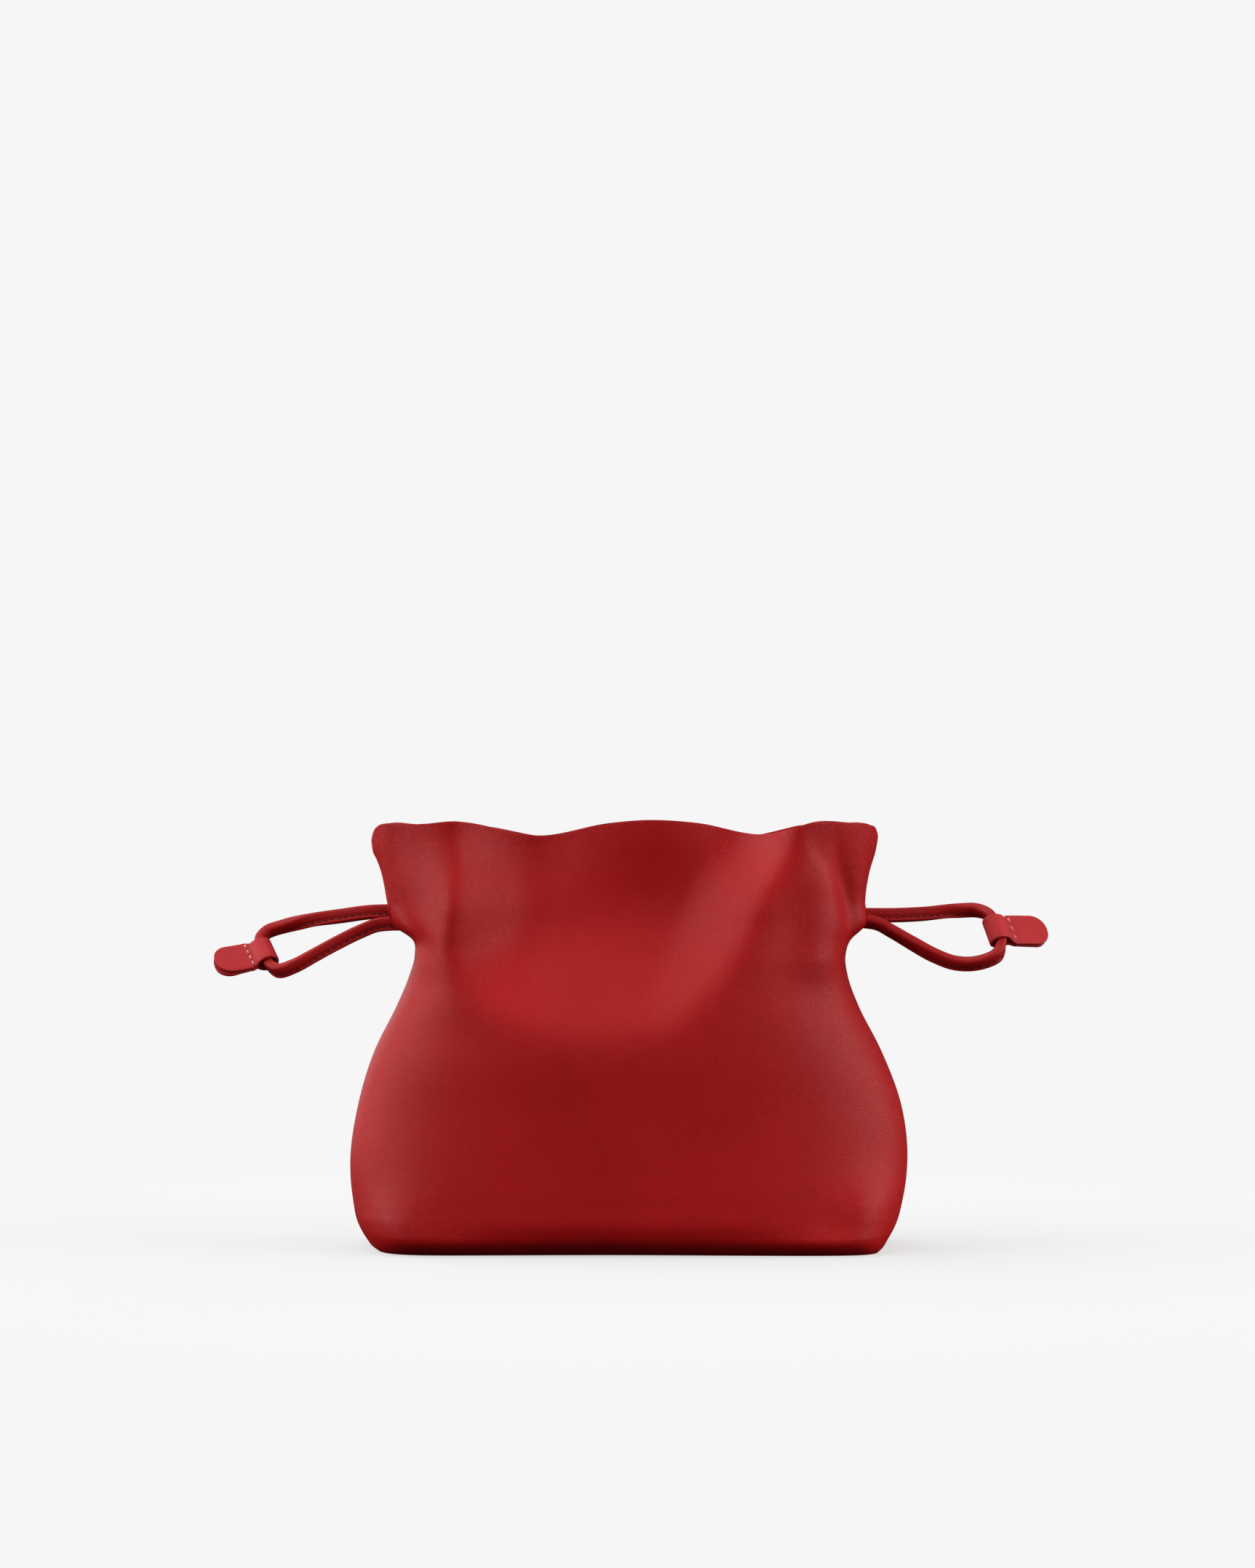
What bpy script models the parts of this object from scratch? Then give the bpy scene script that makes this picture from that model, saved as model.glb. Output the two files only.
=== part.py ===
# Leather drawstring pouch, standing on its flat base with its front towards -Y.
# Metres, +Z up. The origin is on the floor, under the middle of the bag.

import math

import bmesh
import bpy
import numpy as np

# Leather and gaps
LEATHER = 0.0012  # one layer of the bag's leather
HEM = 0.0026  # the rim, where the leather is turned in and doubled
HEM_DEPTH = 0.020
BASE_LEATHER = 0.0016
BASE_INSET = 0.0013  # from the bag's outer edge to the base panel
SEAM_GAP = 0.0004  # between the front and the back panel along the side seams

# Outline of the bag at rising heights:
# height, half width left and right, half depth front and back, squareness of the plan left and right
OUTLINE = (
    (0.0000, 0.1072, 0.1068, 0.0446, 0.0438, 3.7, 6.0),
    (0.0016, 0.1096, 0.1086, 0.0464, 0.0456, 3.7, 5.6),
    (0.0045, 0.1120, 0.1106, 0.0492, 0.0478, 3.6, 5.0),
    (0.0100, 0.1154, 0.1141, 0.0516, 0.0496, 3.4, 4.2),
    (0.0226, 0.1184, 0.1180, 0.0526, 0.0508, 3.1, 3.5),
    (0.0353, 0.1194, 0.1198, 0.0526, 0.0508, 3.0, 3.1),
    (0.0603, 0.1163, 0.1176, 0.0526, 0.0505, 2.8, 2.8),
    (0.0853, 0.1087, 0.1084, 0.0525, 0.0482, 2.8, 2.8),
    (0.1040, 0.0994, 0.0989, 0.0509, 0.0428, 2.8, 2.8),
    (0.1165, 0.0942, 0.0944, 0.0480, 0.0372, 2.7, 2.8),
    (0.1259, 0.0917, 0.0934, 0.0449, 0.0334, 2.6, 2.9),
    (0.1318, 0.0924, 0.0954, 0.0428, 0.0316, 2.5, 2.9),
    (0.1383, 0.1008, 0.1018, 0.0406, 0.0304, 2.4, 2.9),
    (0.1483, 0.1036, 0.1018, 0.0384, 0.0300, 2.3, 2.8),
    (0.1603, 0.1062, 0.1036, 0.0370, 0.0302, 2.2, 2.7),
    (0.1729, 0.1098, 0.1064, 0.0364, 0.0310, 2.1, 2.6),
    (0.1833, 0.1108, 0.1078, 0.0364, 0.0318, 2.1, 2.6),
)
WIDTH_STEPS = (-0.018, -0.012, -0.006, 0.0, 0.006, 0.012, 0.018)
PINCH_AT = 14  # power of the share of the width: the neck's pinch stays close to the seams

# Height of the rim along the width: x, height
RIM_LEVEL = 0.1814
RIM_TURN = 0.136  # the rim's waves fade out down to this height
FRONT_RIM = (
    (-0.1108, 0.1742),
    (-0.1096, 0.1782),
    (-0.1076, 0.1808),
    (-0.1038, 0.1820),
    (-0.0910, 0.1818),
    (-0.0740, 0.1831),
    (-0.0370, 0.1770),
    (-0.0080, 0.1824),
    (0.0080, 0.1837),
    (0.0290, 0.1825),
    (0.0570, 0.1776),
    (0.0835, 0.1831),
    (0.0950, 0.1824),
    (0.1034, 0.1815),
    (0.1064, 0.1795),
    (0.1080, 0.1748),
)
BACK_RIM = (
    (-0.1108, 0.1742),
    (-0.1096, 0.1776),
    (-0.1000, 0.1802),
    (-0.0650, 0.1808),
    (-0.0370, 0.1758),
    (0.0100, 0.1808),
    (0.0520, 0.1762),
    (0.0800, 0.1812),
    (0.0980, 0.1806),
    (0.1050, 0.1790),
    (0.1080, 0.1748),
)
# How far the front leans out (or back, below zero) at its rim: x, distance
LEAN_FROM = 0.144
FRONT_LEAN = (
    (-0.1050, 0.0),
    (-0.0880, -0.0010),
    (-0.0650, -0.0070),
    (-0.0370, -0.0072),
    (-0.0120, -0.0010),
    (0.0100, 0.0022),
    (0.0300, -0.0010),
    (0.0480, -0.0066),
    (0.0600, -0.0062),
    (0.0760, 0.0),
    (0.0900, 0.0008),
    (0.1050, 0.0),
)

# The wide dip that the drawn cords pull into the middle of the front
DIP_LIP = (  # its lower edge: x, height
    (-0.1100, 0.1440),
    (-0.0900, 0.1340),
    (-0.0818, 0.1280),
    (-0.0717, 0.1168),
    (-0.0573, 0.1038),
    (-0.0340, 0.0956),
    (0.0000, 0.0948),
    (0.0206, 0.0988),
    (0.0381, 0.1085),
    (0.0494, 0.1175),
    (0.0620, 0.1270),
    (0.0800, 0.1360),
    (0.1100, 0.1430),
)
LIP_STEP = 0.001
LIP_ROUND = 0.0040
DIP_DEPTH = 0.0230
DIP_FALL = 0.027
DIP_LEFT_FALL = 0.012  # steeper at its left end
DIP_LEFT_END = -0.080
DIP_LEFT_SPAN = 0.060
DIP_TURN = 0.124  # height at which the dip starts to lean forward again
DIP_RETURN = 0.34  # share of the depth that the rim leans forward again
DIP_LEFT_FLANK = 0.042
DIP_RIGHT_FLANK = 0.038

# Soft bulges of the front: x, height, reach across and up, how far out
BULGES = (
    (-0.1060, 0.0110, 0.0150, 0.0130, 0.0055),
    (0.1070, 0.0150, 0.0140, 0.0150, 0.0072),
    (-0.0960, 0.0120, 0.0240, 0.0200, 0.0036),
    (-0.0660, 0.1415, 0.0160, 0.0165, 0.0038),
    (-0.0100, 0.0000, 0.0560, 0.0060, -0.0034),
    (-0.0860, 0.0050, 0.0260, 0.0060, 0.0022),
    (0.0880, 0.0050, 0.0260, 0.0060, 0.0022),
)

# Lines that the crests and valleys follow: height, x
LEFT_CREST = (
    (0.0960, -0.0740),
    (0.1065, -0.0775),
    (0.1141, -0.0797),
    (0.1209, -0.0813),
    (0.1276, -0.0817),
    (0.1384, -0.0796),
    (0.1538, -0.0765),
    (0.1690, -0.0759),
    (0.1860, -0.0755),
)
RIGHT_CREST = (
    (0.0960, 0.0440),
    (0.1085, 0.0465),
    (0.1229, 0.0515),
    (0.1433, 0.0582),
    (0.1605, 0.0636),
    (0.1748, 0.0700),
    (0.1860, 0.0745),
)
RIGHT_FURROW = (
    (0.0960, 0.0620),
    (0.1220, 0.0690),
    (0.1450, 0.0725),
    (0.1690, 0.0785),
    (0.1860, 0.0810),
)
RIGHT_SHOULDER = (
    (0.0960, 0.0920),
    (0.1205, 0.0900),
    (0.1269, 0.0900),
    (0.1402, 0.0894),
    (0.1531, 0.0858),
    (0.1679, 0.0760),
    (0.1860, 0.0680),
)
LEFT_PINCH = (
    (0.1200, -0.0880),
    (0.1311, -0.0893),
    (0.1424, -0.0955),
    (0.1500, -0.0985),
    (0.1860, -0.1000),
)
RIGHT_PINCH = (
    (0.0960, 0.0960),
    (0.1260, 0.0945),
    (0.1380, 0.0948),
    (0.1500, 0.0928),
    (0.1650, 0.0900),
    (0.1860, 0.0900),
)

# Folds of the front: line, reach left, reach right, height (inwards below zero),
# the heights between which it grows, and how much of it is left at the rim
FRONT_FOLDS = (
    (LEFT_CREST, 0.0150, 0.0120, 0.0080, 0.0900, 0.1340, 0.6),
    (LEFT_PINCH, 0.0030, 0.0045, -0.0045, 0.1220, 0.1320, 0.1),
    (RIGHT_CREST, 0.0160, 0.0280, 0.0070, 0.0980, 0.1600, 1.0),
    (RIGHT_FURROW, 0.0090, 0.0090, -0.0014, 0.1040, 0.1380, 0.5),
    (RIGHT_SHOULDER, 0.0160, 0.0040, 0.0050, 0.1040, 0.1260, 0.1),
    (RIGHT_PINCH, 0.0040, 0.0090, -0.0070, 0.1200, 0.1360, 0.0),
)
BACK_FOLDS = (
    (((0.100, -0.088), (0.190, -0.078)), 0.0100, 0.0080, 0.0060, 0.0960, 0.1380, 0.8),
    (((0.100, -0.066), (0.190, -0.058)), 0.0090, 0.0110, -0.0060, 0.0880, 0.1360, 0.7),
    (((0.100, -0.034), (0.190, -0.037)), 0.0130, 0.0120, 0.0052, 0.0840, 0.1360, 0.7),
    (((0.100, -0.006), (0.190, -0.008)), 0.0120, 0.0120, -0.0066, 0.0860, 0.1400, 0.7),
    (((0.100, 0.020), (0.190, 0.016)), 0.0110, 0.0120, 0.0048, 0.0860, 0.1400, 0.8),
    (((0.100, 0.050), (0.190, 0.046)), 0.0130, 0.0110, -0.0070, 0.0900, 0.1360, 0.7),
    (((0.100, 0.082), (0.190, 0.074)), 0.0100, 0.0090, 0.0062, 0.0980, 0.1380, 0.8),
)

# The slits in the side seams, where each cord comes out
SLIT_HALF = 0.0078
SLIT_FOOT = 0.1263
SLIT_HEAD = 0.1565
SLIT_RAMP = 0.012
SLIT_REACH = 0.017

# Rows of faces stand closer at the base and at the neck: share of the rows, height
ROW_HEIGHTS = (
    (0.0, 0.0),
    (0.08, 0.003),
    (0.17, 0.012),
    (0.36, 0.065),
    (0.50, 0.098),
    (0.76, 0.143),
    (1.0, 0.1814),
)
# Columns stand closer where the pleats are: share of the columns, share of the turn from seam to seam
FRONT_TURN = ((0.0, 0.0), (0.12, 0.09), (0.40, 0.30), (0.62, 0.68), (0.90, 0.90), (1.0, 1.0))
BACK_TURN = ((0.0, 0.0), (1.0, 1.0))
FRONT_COLUMNS = 48
FRONT_ROWS = 32
BACK_COLUMNS = 32
BACK_ROWS = 24
BASE_POINTS = 48

# Channel strips, sewn inside the neck over the cords
CHANNEL_HEIGHT = 0.1413
STRIP_LEATHER = 0.0008
STRIP_HALF_WIDTH = 0.059
STRIP_FOOT = 0.1288
STRIP_HEAD = 0.1553
STRIP_GAP = 0.0011  # between a strip's sewn edges and the panel
STRIP_SLOPE = 0.0065
STRIP_DIP = 0.0070  # how far its sewn edges follow the pleats out from the cords
STRIP_COLUMNS = 28
STRIP_ROWS = 8

# Drawcords: a point every few millimetres of a smooth curve through the route
CORD_RADIUS = 0.0026
CORD_SIDES = 2  # bevel resolution, for eight sides
LOOP_SPACING = 0.0048
CAP_SPACING = 0.0010  # the first and the last stretch are short, which squares the cut ends
RUN_SPACING = 0.0068

LEFT_LOOP = (
    (-0.0840, 0.0033, 0.1441),
    (-0.0930, 0.0033, 0.1441),
    (-0.1020, 0.0033, 0.1441),
    (-0.1120, 0.0036, 0.1437),
    (-0.1230, 0.0045, 0.1422),
    (-0.1385, 0.0065, 0.1399),
    (-0.1490, 0.0080, 0.1375),
    (-0.1562, 0.0078, 0.1350),
    (-0.1590, 0.0019, 0.1309),
    (-0.1562, -0.0030, 0.1260),
    (-0.1535, -0.0079, 0.1211),
    (-0.1495, -0.0113, 0.1191),
    (-0.1430, -0.0112, 0.1207),
    (-0.1352, -0.0095, 0.1245),
    (-0.1252, -0.0070, 0.1298),
    (-0.1148, -0.0047, 0.1351),
    (-0.1080, -0.0035, 0.1380),
    (-0.1020, -0.0033, 0.1388),
    (-0.0930, -0.0033, 0.1388),
    (-0.0840, -0.0033, 0.1388),
)
RIGHT_LOOP = (
    (0.0840, 0.0033, 0.1425),
    (0.0930, 0.0033, 0.1425),
    (0.1020, 0.0033, 0.1425),
    (0.1130, 0.0038, 0.1424),
    (0.1282, 0.0055, 0.1430),
    (0.1420, 0.0072, 0.1443),
    (0.1515, 0.0066, 0.1443),
    (0.1563, 0.0021, 0.1419),
    (0.1582, -0.0020, 0.1359),
    (0.1601, -0.0061, 0.1299),
    (0.1580, -0.0094, 0.1257),
    (0.1525, -0.0106, 0.1231),
    (0.1465, -0.0104, 0.1220),
    (0.1395, -0.0096, 0.1225),
    (0.1314, -0.0083, 0.1255),
    (0.1223, -0.0066, 0.1305),
    (0.1130, -0.0046, 0.1359),
    (0.1070, -0.0035, 0.1391),
    (0.1020, -0.0033, 0.1400),
    (0.0930, -0.0033, 0.1400),
    (0.0840, -0.0033, 0.1400),
)
# Middle line of the channel in front and behind: x, y
FRONT_CHANNEL = (
    (-0.064, -0.0029),
    (-0.050, -0.0040),
    (-0.030, -0.0062),
    (-0.010, -0.0076),
    (0.010, -0.0080),
    (0.030, -0.0080),
    (0.046, -0.0098),
    (0.064, -0.0112),
)
BACK_CHANNEL = (
    (-0.064, 0.0128),
    (-0.040, 0.0165),
    (-0.010, 0.0188),
    (0.010, 0.0188),
    (0.030, 0.0166),
    (0.050, 0.0142),
    (0.064, 0.0128),
)
CHANNEL_END = 0.058
CHANNEL_STEP = 0.0145

# The rest of each cord, hidden in the bag: out of the front tail, the height in front, the turn
# inside the far side seam, the height behind, and into the back tail
LEFT_RUN = (
    ((-0.0837, -0.0033, 0.1388), (-0.0815, -0.0033, 0.1388), (-0.0735, -0.0034, 0.1381)),
    0.1378,
    (
        (0.0680, -0.0098, 0.1378),
        (0.0712, -0.0050, 0.1383),
        (0.0720, 0.0000, 0.1414),
        (0.0712, 0.0050, 0.1445),
        (0.0680, 0.0102, 0.1450),
    ),
    0.1450,
    (
        (-0.0735, 0.0085, 0.1446),
        (-0.0790, 0.0044, 0.1442),
        (-0.0815, 0.0033, 0.1441),
        (-0.0837, 0.0033, 0.1441),
    ),
)
RIGHT_RUN = (
    (
        (0.0837, -0.0033, 0.1400),
        (0.0815, -0.0033, 0.1400),
        (0.0785, -0.0042, 0.1412),
        (0.0730, -0.0070, 0.1442),
    ),
    0.1453,
    (
        (-0.0685, -0.0022, 0.1453),
        (-0.0714, 0.0014, 0.1433),
        (-0.0718, 0.0048, 0.1399),
        (-0.0705, 0.0086, 0.1382),
        (-0.0670, 0.0118, 0.1380),
    ),
    0.1380,
    (
        (0.0730, 0.0086, 0.1389),
        (0.0785, 0.0045, 0.1416),
        (0.0815, 0.0033, 0.1425),
        (0.0837, 0.0033, 0.1425),
    ),
)

# Pull tabs, folded over the loops: middle of the fold, its axis along the cord, direction of the leaves,
# length from the fold's axis to the free end, and half the opening between the leaves there
LEFT_FOLD = ((-0.1562, -0.0030, 0.1260), (0.366, -0.654, -0.660), (-0.925, -0.324, -0.193), 0.0224, 0.0017)
RIGHT_FOLD = ((0.1582, -0.0020, 0.1359), (0.257, -0.540, -0.804), (0.880, 0.470, -0.036), 0.0252, 0.0013)
TAB_WIDTH = 0.0150
TAB_WAIST = 0.0120  # its width round the cord
TAB_WIDEN = (0.0042, 0.0076)  # distances from the fold's axis between which it grows to its full width
TAB_END_ROUND = 0.0066
TAB_LEATHER = 0.0013
TAB_BORE = CORD_RADIUS + 0.0006
TAB_STITCH = 0.0072  # distance of the stitching from the fold's axis
TAB_STITCHED = 0.00078  # from the middle of the two leaves to the middle of one, at the stitching
TAB_COLUMNS = 44
TAB_ROWS = 6
TAB_STEP = 0.002

RED_LEATHER = (0.330, 0.022, 0.026)
RED_BASE = (0.240, 0.016, 0.018)
RED_STRIP = (0.270, 0.030, 0.030)
RED_CORD = (0.300, 0.020, 0.024)
RED_TAB = (0.420, 0.045, 0.050)


def clear_scene():
    for obj in list(bpy.data.objects):
        bpy.data.objects.remove(obj, do_unlink=True)


def leather(name, colour, roughness):
    material = bpy.data.materials.new(name)
    material.use_nodes = True
    shader = material.node_tree.nodes["Principled BSDF"]
    shader.inputs["Base Color"].default_value = (*colour, 1.0)
    shader.inputs["Roughness"].default_value = roughness
    shader.inputs["Metallic"].default_value = 0.0
    return material


def finish(name, mesh, material):
    obj = bpy.data.objects.new(name, mesh)
    mesh.materials.append(material)
    bpy.context.scene.collection.objects.link(obj)
    return obj


def rise(share):
    # Eases from 0 to 1 as the share goes from 0 to 1.
    t = np.clip(share, 0.0, 1.0)
    return t * t * (3.0 - 2.0 * t)


def track(keys, at):
    # A smooth curve through (place, value) keys, flat past both ends.
    places = np.array([key[0] for key in keys], dtype=float)
    values = np.array([key[1] for key in keys], dtype=float)
    slopes = np.gradient(values, places)
    at = np.clip(at, places[0], places[-1])
    i = np.clip(np.searchsorted(places, at, side="right") - 1, 0, len(places) - 2)
    span = places[i + 1] - places[i]
    t = (at - places[i]) / span
    return (
        values[i] * (2 * t**3 - 3 * t**2 + 1)
        + values[i + 1] * (3 * t**2 - 2 * t**3)
        + slopes[i] * span * (t**3 - 2 * t**2 + t)
        + slopes[i + 1] * span * (t**3 - t**2)
    )


def column(keys, index):
    return [(key[0], key[index]) for key in keys]


def fold_heights(folds, x, z):
    # Sum of the folds at each point, outwards from the bag.
    total = np.zeros_like(x)
    for line, left, right, height, foot, grown, at_rim in folds:
        across = x - track(line, z)
        shape = np.exp(-((across / np.where(across < 0, left, right)) ** 2))
        fade = rise((z - foot) / (grown - foot))
        fade *= 1.0 - (1.0 - at_rim) * rise((z - grown) / (RIM_LEVEL - grown))
        total += height * shape * fade
    return total


def dip(x, z):
    # Depth of the wide dip in the front, which starts at the curved lip and is widest at the neck.
    steep = (track(DIP_LIP, x + LIP_STEP) - track(DIP_LIP, x - LIP_STEP)) / (2 * LIP_STEP)
    from_lip = (z - track(DIP_LIP, x)) / np.sqrt(1.0 + steep * steep)
    above = LIP_ROUND * np.logaddexp(0.0, from_lip / LIP_ROUND)
    fall = DIP_LEFT_FALL + (DIP_FALL - DIP_LEFT_FALL) * rise((x - DIP_LEFT_END) / DIP_LEFT_SPAN)
    depth = DIP_DEPTH * (1.0 - np.exp(-above / fall))
    depth *= 1.0 - DIP_RETURN * rise((z - DIP_TURN) / (RIM_LEVEL - DIP_TURN))
    left = rise((x - track(LEFT_CREST, z)) / DIP_LEFT_FLANK)
    right = rise((track(RIGHT_CREST, z) - x) / DIP_RIGHT_FLANK)
    return depth * left * right


def swell(x, z):
    # Sum of the soft bulges at each point, outwards from the bag.
    total = np.zeros_like(x)
    for place_x, place_z, reach_x, reach_z, height in BULGES:
        total += height * np.exp(-(((x - place_x) / reach_x) ** 2) - ((z - place_z) / reach_z) ** 2)
    return total


def side_widths(height, index):
    # The half width of one side, and the same evened out past the narrow place at the neck.
    keys = column(OUTLINE, index)
    even = sum(track(keys, height + step) for step in WIDTH_STEPS) / len(WIDTH_STEPS)
    return track(keys, height), even


def outer_skin(u, v, front):
    # Outer face of a panel. u runs from the left seam to the right one, v from the base to the rim.
    height = track(ROW_HEIGHTS, v)
    left, even_left = side_widths(height, 1)
    right, even_right = side_widths(height, 2)
    depth = track(column(OUTLINE, 3 if front else 4), height)
    turn = math.pi * (1.0 - track(FRONT_TURN if front else BACK_TURN, u))
    across = np.cos(turn)
    along = np.sin(turn)
    square = np.where(across < 0, track(column(OUTLINE, 5), height), track(column(OUTLINE, 6), height))
    radius = (np.abs(across) ** square + np.abs(along) ** square) ** (-1.0 / square)
    half_width = np.where(across < 0, left, right)
    even_width = np.where(across < 0, even_left, even_right)
    share = across * radius
    x = share * (even_width + (half_width - even_width) * np.abs(share) ** PINCH_AT)
    out = depth * along * radius
    if front:
        lean = rise((height - LEAN_FROM) / (RIM_LEVEL - LEAN_FROM))
        folds = fold_heights(FRONT_FOLDS, x, height) + swell(x, height) - dip(x, height)
        folds += track(FRONT_LEAN, x) * lean
    else:
        folds = fold_heights(BACK_FOLDS, x, height)
    near_seam = (np.abs(x) / half_width) ** 10
    out = out + folds * (1.0 - near_seam)
    slit = rise((height - SLIT_FOOT) / SLIT_RAMP) * rise((SLIT_HEAD - height) / SLIT_RAMP)
    at_slit = slit * rise((np.abs(x) - half_width + SLIT_REACH) / SLIT_REACH)
    out = np.maximum(out, SEAM_GAP / 2) * (1.0 - at_slit) + np.maximum(out, SLIT_HALF) * at_slit
    rim = track(FRONT_RIM if front else BACK_RIM, x)
    lift = (rim - RIM_TURN) / (RIM_LEVEL - RIM_TURN)
    z = np.where(height > RIM_TURN, RIM_TURN + (height - RIM_TURN) * lift, height)
    y = -out if front else out
    return np.stack([x, y, z], axis=-1)


def skin(u, v, inside, front):
    # A point this far inside the outer face of a panel, on its own side of the seams.
    step = 0.002
    outer = outer_skin(u, v, front)
    right = outer_skin(np.minimum(u + step, 1.0), v, front)
    left = outer_skin(np.maximum(u - step, 0.0), v, front)
    above = outer_skin(u, np.minimum(v + step, 1.0), front)
    below = outer_skin(u, np.maximum(v - step, 0.0), front)
    inward = np.cross(above - below, right - left)
    inward /= np.linalg.norm(inward, axis=-1, keepdims=True)
    if not front:
        inward = -inward
    points = outer + inward * np.asarray(inside)[..., None]
    side = -1.0 if front else 1.0
    points[..., 1] = side * np.maximum(side * points[..., 1], SEAM_GAP / 2)
    points[..., 2] = np.maximum(points[..., 2], 0.0)
    return points


def wall_depth(v):
    # Thickness of a bag panel, which grows where the rim is turned in.
    height = track(ROW_HEIGHTS, v)
    return LEATHER + (HEM - LEATHER) * rise((height - RIM_LEVEL + HEM_DEPTH) / 0.003)


def add_face_grid(bm, columns, rows, place):
    # A grid of faces whose points are put in place by their share of the width and of the height.
    made = bmesh.ops.create_grid(bm, x_segments=columns, y_segments=rows, size=1.0)["verts"]
    u = np.array([(vert.co.x + 1.0) / 2.0 for vert in made])
    v = np.array([(vert.co.y + 1.0) / 2.0 for vert in made])
    for vert, point in zip(made, place(u, v)):
        vert.co = point
    return made


def shell_mesh(name, columns, rows, outer, inner):
    # Two grids of faces, joined round their edges into one closed wall.
    bm = bmesh.new()
    add_face_grid(bm, columns, rows, outer)
    add_face_grid(bm, columns, rows, inner)
    border = [edge for edge in bm.edges if edge.is_boundary]
    bmesh.ops.bridge_loops(bm, edges=border)
    bmesh.ops.recalc_face_normals(bm, faces=bm.faces)
    mesh = bpy.data.meshes.new(name)
    bm.to_mesh(mesh)
    bm.free()
    mesh.shade_smooth()
    mesh.set_sharp_from_angle(angle=math.radians(60))
    return mesh


def bag_panel(name, columns, rows, front, material):
    mesh = shell_mesh(
        name,
        columns,
        rows,
        lambda u, v: skin(u, v, np.zeros_like(u), front),
        lambda u, v: skin(u, v, wall_depth(v), front),
    )
    return finish(name, mesh, material)


def base_panel(material):
    # Follows the foot of the front and the back panel, just inside them.
    bm = bmesh.new()
    made = bmesh.ops.create_circle(bm, cap_ends=True, segments=BASE_POINTS, radius=1.0)["verts"]
    shares = np.linspace(0.0, 1.0, 801)
    for vert in made:
        front = vert.co.y < 0
        turned = 1.0 - math.acos(max(-1.0, min(1.0, vert.co.x))) / math.pi
        u = np.interp(turned, track(FRONT_TURN if front else BACK_TURN, shares), shares)
        edge = outer_skin(np.array([u]), np.array([0.0]), front)[0]
        half_width = OUTLINE[0][1] if edge[0] < 0 else OUTLINE[0][2]
        half_depth = OUTLINE[0][3] if front else OUTLINE[0][4]
        vert.co.x = edge[0] * (1.0 - BASE_INSET / half_width)
        vert.co.y = edge[1] * (1.0 - BASE_INSET / half_depth)
    raised = bmesh.ops.extrude_face_region(bm, geom=list(bm.faces))["geom"]
    top = [item for item in raised if isinstance(item, bmesh.types.BMVert)]
    bmesh.ops.translate(bm, verts=top, vec=(0, 0, BASE_LEATHER))
    bmesh.ops.recalc_face_normals(bm, faces=bm.faces)
    mesh = bpy.data.meshes.new("base_panel")
    bm.to_mesh(mesh)
    bm.free()
    return finish("base_panel", mesh, material)


def find_share(x_wanted, height, front):
    # The share of a panel's width at which its outer face reaches each x, at one height.
    shares = np.linspace(0.0, 1.0, 801)
    level = np.full_like(shares, row_share(height))
    return np.interp(x_wanted, outer_skin(shares, level, front)[:, 0], shares)


def row_share(height):
    shares = np.linspace(0.0, 1.0, 801)
    return np.interp(height, track(ROW_HEIGHTS, shares), shares)


def over_cords(height):
    # 0 along the strip's two sewn edges, 1 where it stands off over the cords.
    half = (STRIP_HEAD - STRIP_FOOT) / 2
    middle = (STRIP_HEAD + STRIP_FOOT) / 2
    return rise((half - np.abs(height - middle)) / STRIP_SLOPE)


def channel_strip(name, front, material):
    foot = row_share(STRIP_FOOT)
    head = row_share(STRIP_HEAD)
    left = find_share(-STRIP_HALF_WIDTH, CHANNEL_HEIGHT, front)
    right = find_share(STRIP_HALF_WIDTH, CHANNEL_HEIGHT, front)
    inward = 1.0 if front else -1.0
    channel = FRONT_CHANNEL if front else BACK_CHANNEL

    def layer(depth):
        def place(u, v):
            rows = foot + (head - foot) * v
            points = skin(left + (right - left) * u, rows, np.full_like(u, LEATHER + STRIP_GAP), front)
            line = track(channel, points[:, 0])
            sewn = inward * np.maximum(inward * points[:, 1], inward * line - STRIP_DIP)
            off = over_cords(track(ROW_HEIGHTS, rows))
            over = line + inward * (CORD_RADIUS + STRIP_GAP)
            points[:, 1] = sewn * (1.0 - off) + over * off + inward * depth
            return points

        return place

    mesh = shell_mesh(name, STRIP_COLUMNS, STRIP_ROWS, layer(0.0), layer(STRIP_LEATHER))
    return finish(name, mesh, material)


def smooth_route(route, spacing):
    # Evenly spaced points of a smooth curve through the route's points.
    points = np.array(route, dtype=float)
    lengths = np.concatenate([[0.0], np.cumsum(np.linalg.norm(np.diff(points, axis=0), axis=1))])
    fine = np.linspace(0.0, lengths[-1], 2000)
    curve = np.stack([track(list(zip(lengths, points[:, k])), fine) for k in range(3)], axis=1)
    run = np.concatenate([[0.0], np.cumsum(np.linalg.norm(np.diff(curve, axis=0), axis=1))])
    count = round(run[-1] / spacing) + 1
    at = np.linspace(0.0, run[-1], count)
    at = np.concatenate([[0.0, CAP_SPACING], at[1:-1], [run[-1] - CAP_SPACING, run[-1]]])
    return np.stack([np.interp(at, run, curve[:, k]) for k in range(3)], axis=1)


def cord_tube(name, route, spacing, material):
    data = bpy.data.curves.new(name, "CURVE")
    data.dimensions = "3D"
    data.bevel_depth = CORD_RADIUS
    data.bevel_resolution = CORD_SIDES
    data.use_fill_caps = True
    points = smooth_route(route, spacing)
    spline = data.splines.new("POLY")
    spline.points.add(len(points) - 1)
    for place, point in zip(spline.points, points):
        place.co = (*point, 1.0)
    return finish(name, data, material)


def channel_points(line, start, end, height):
    # Points of a cord along the channel's middle line, at its own height.
    at = np.linspace(start, end, 2 + round(abs(end - start) / CHANNEL_STEP))
    return [(x, y, height) for x, y in zip(at, track(line, at))]


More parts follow.
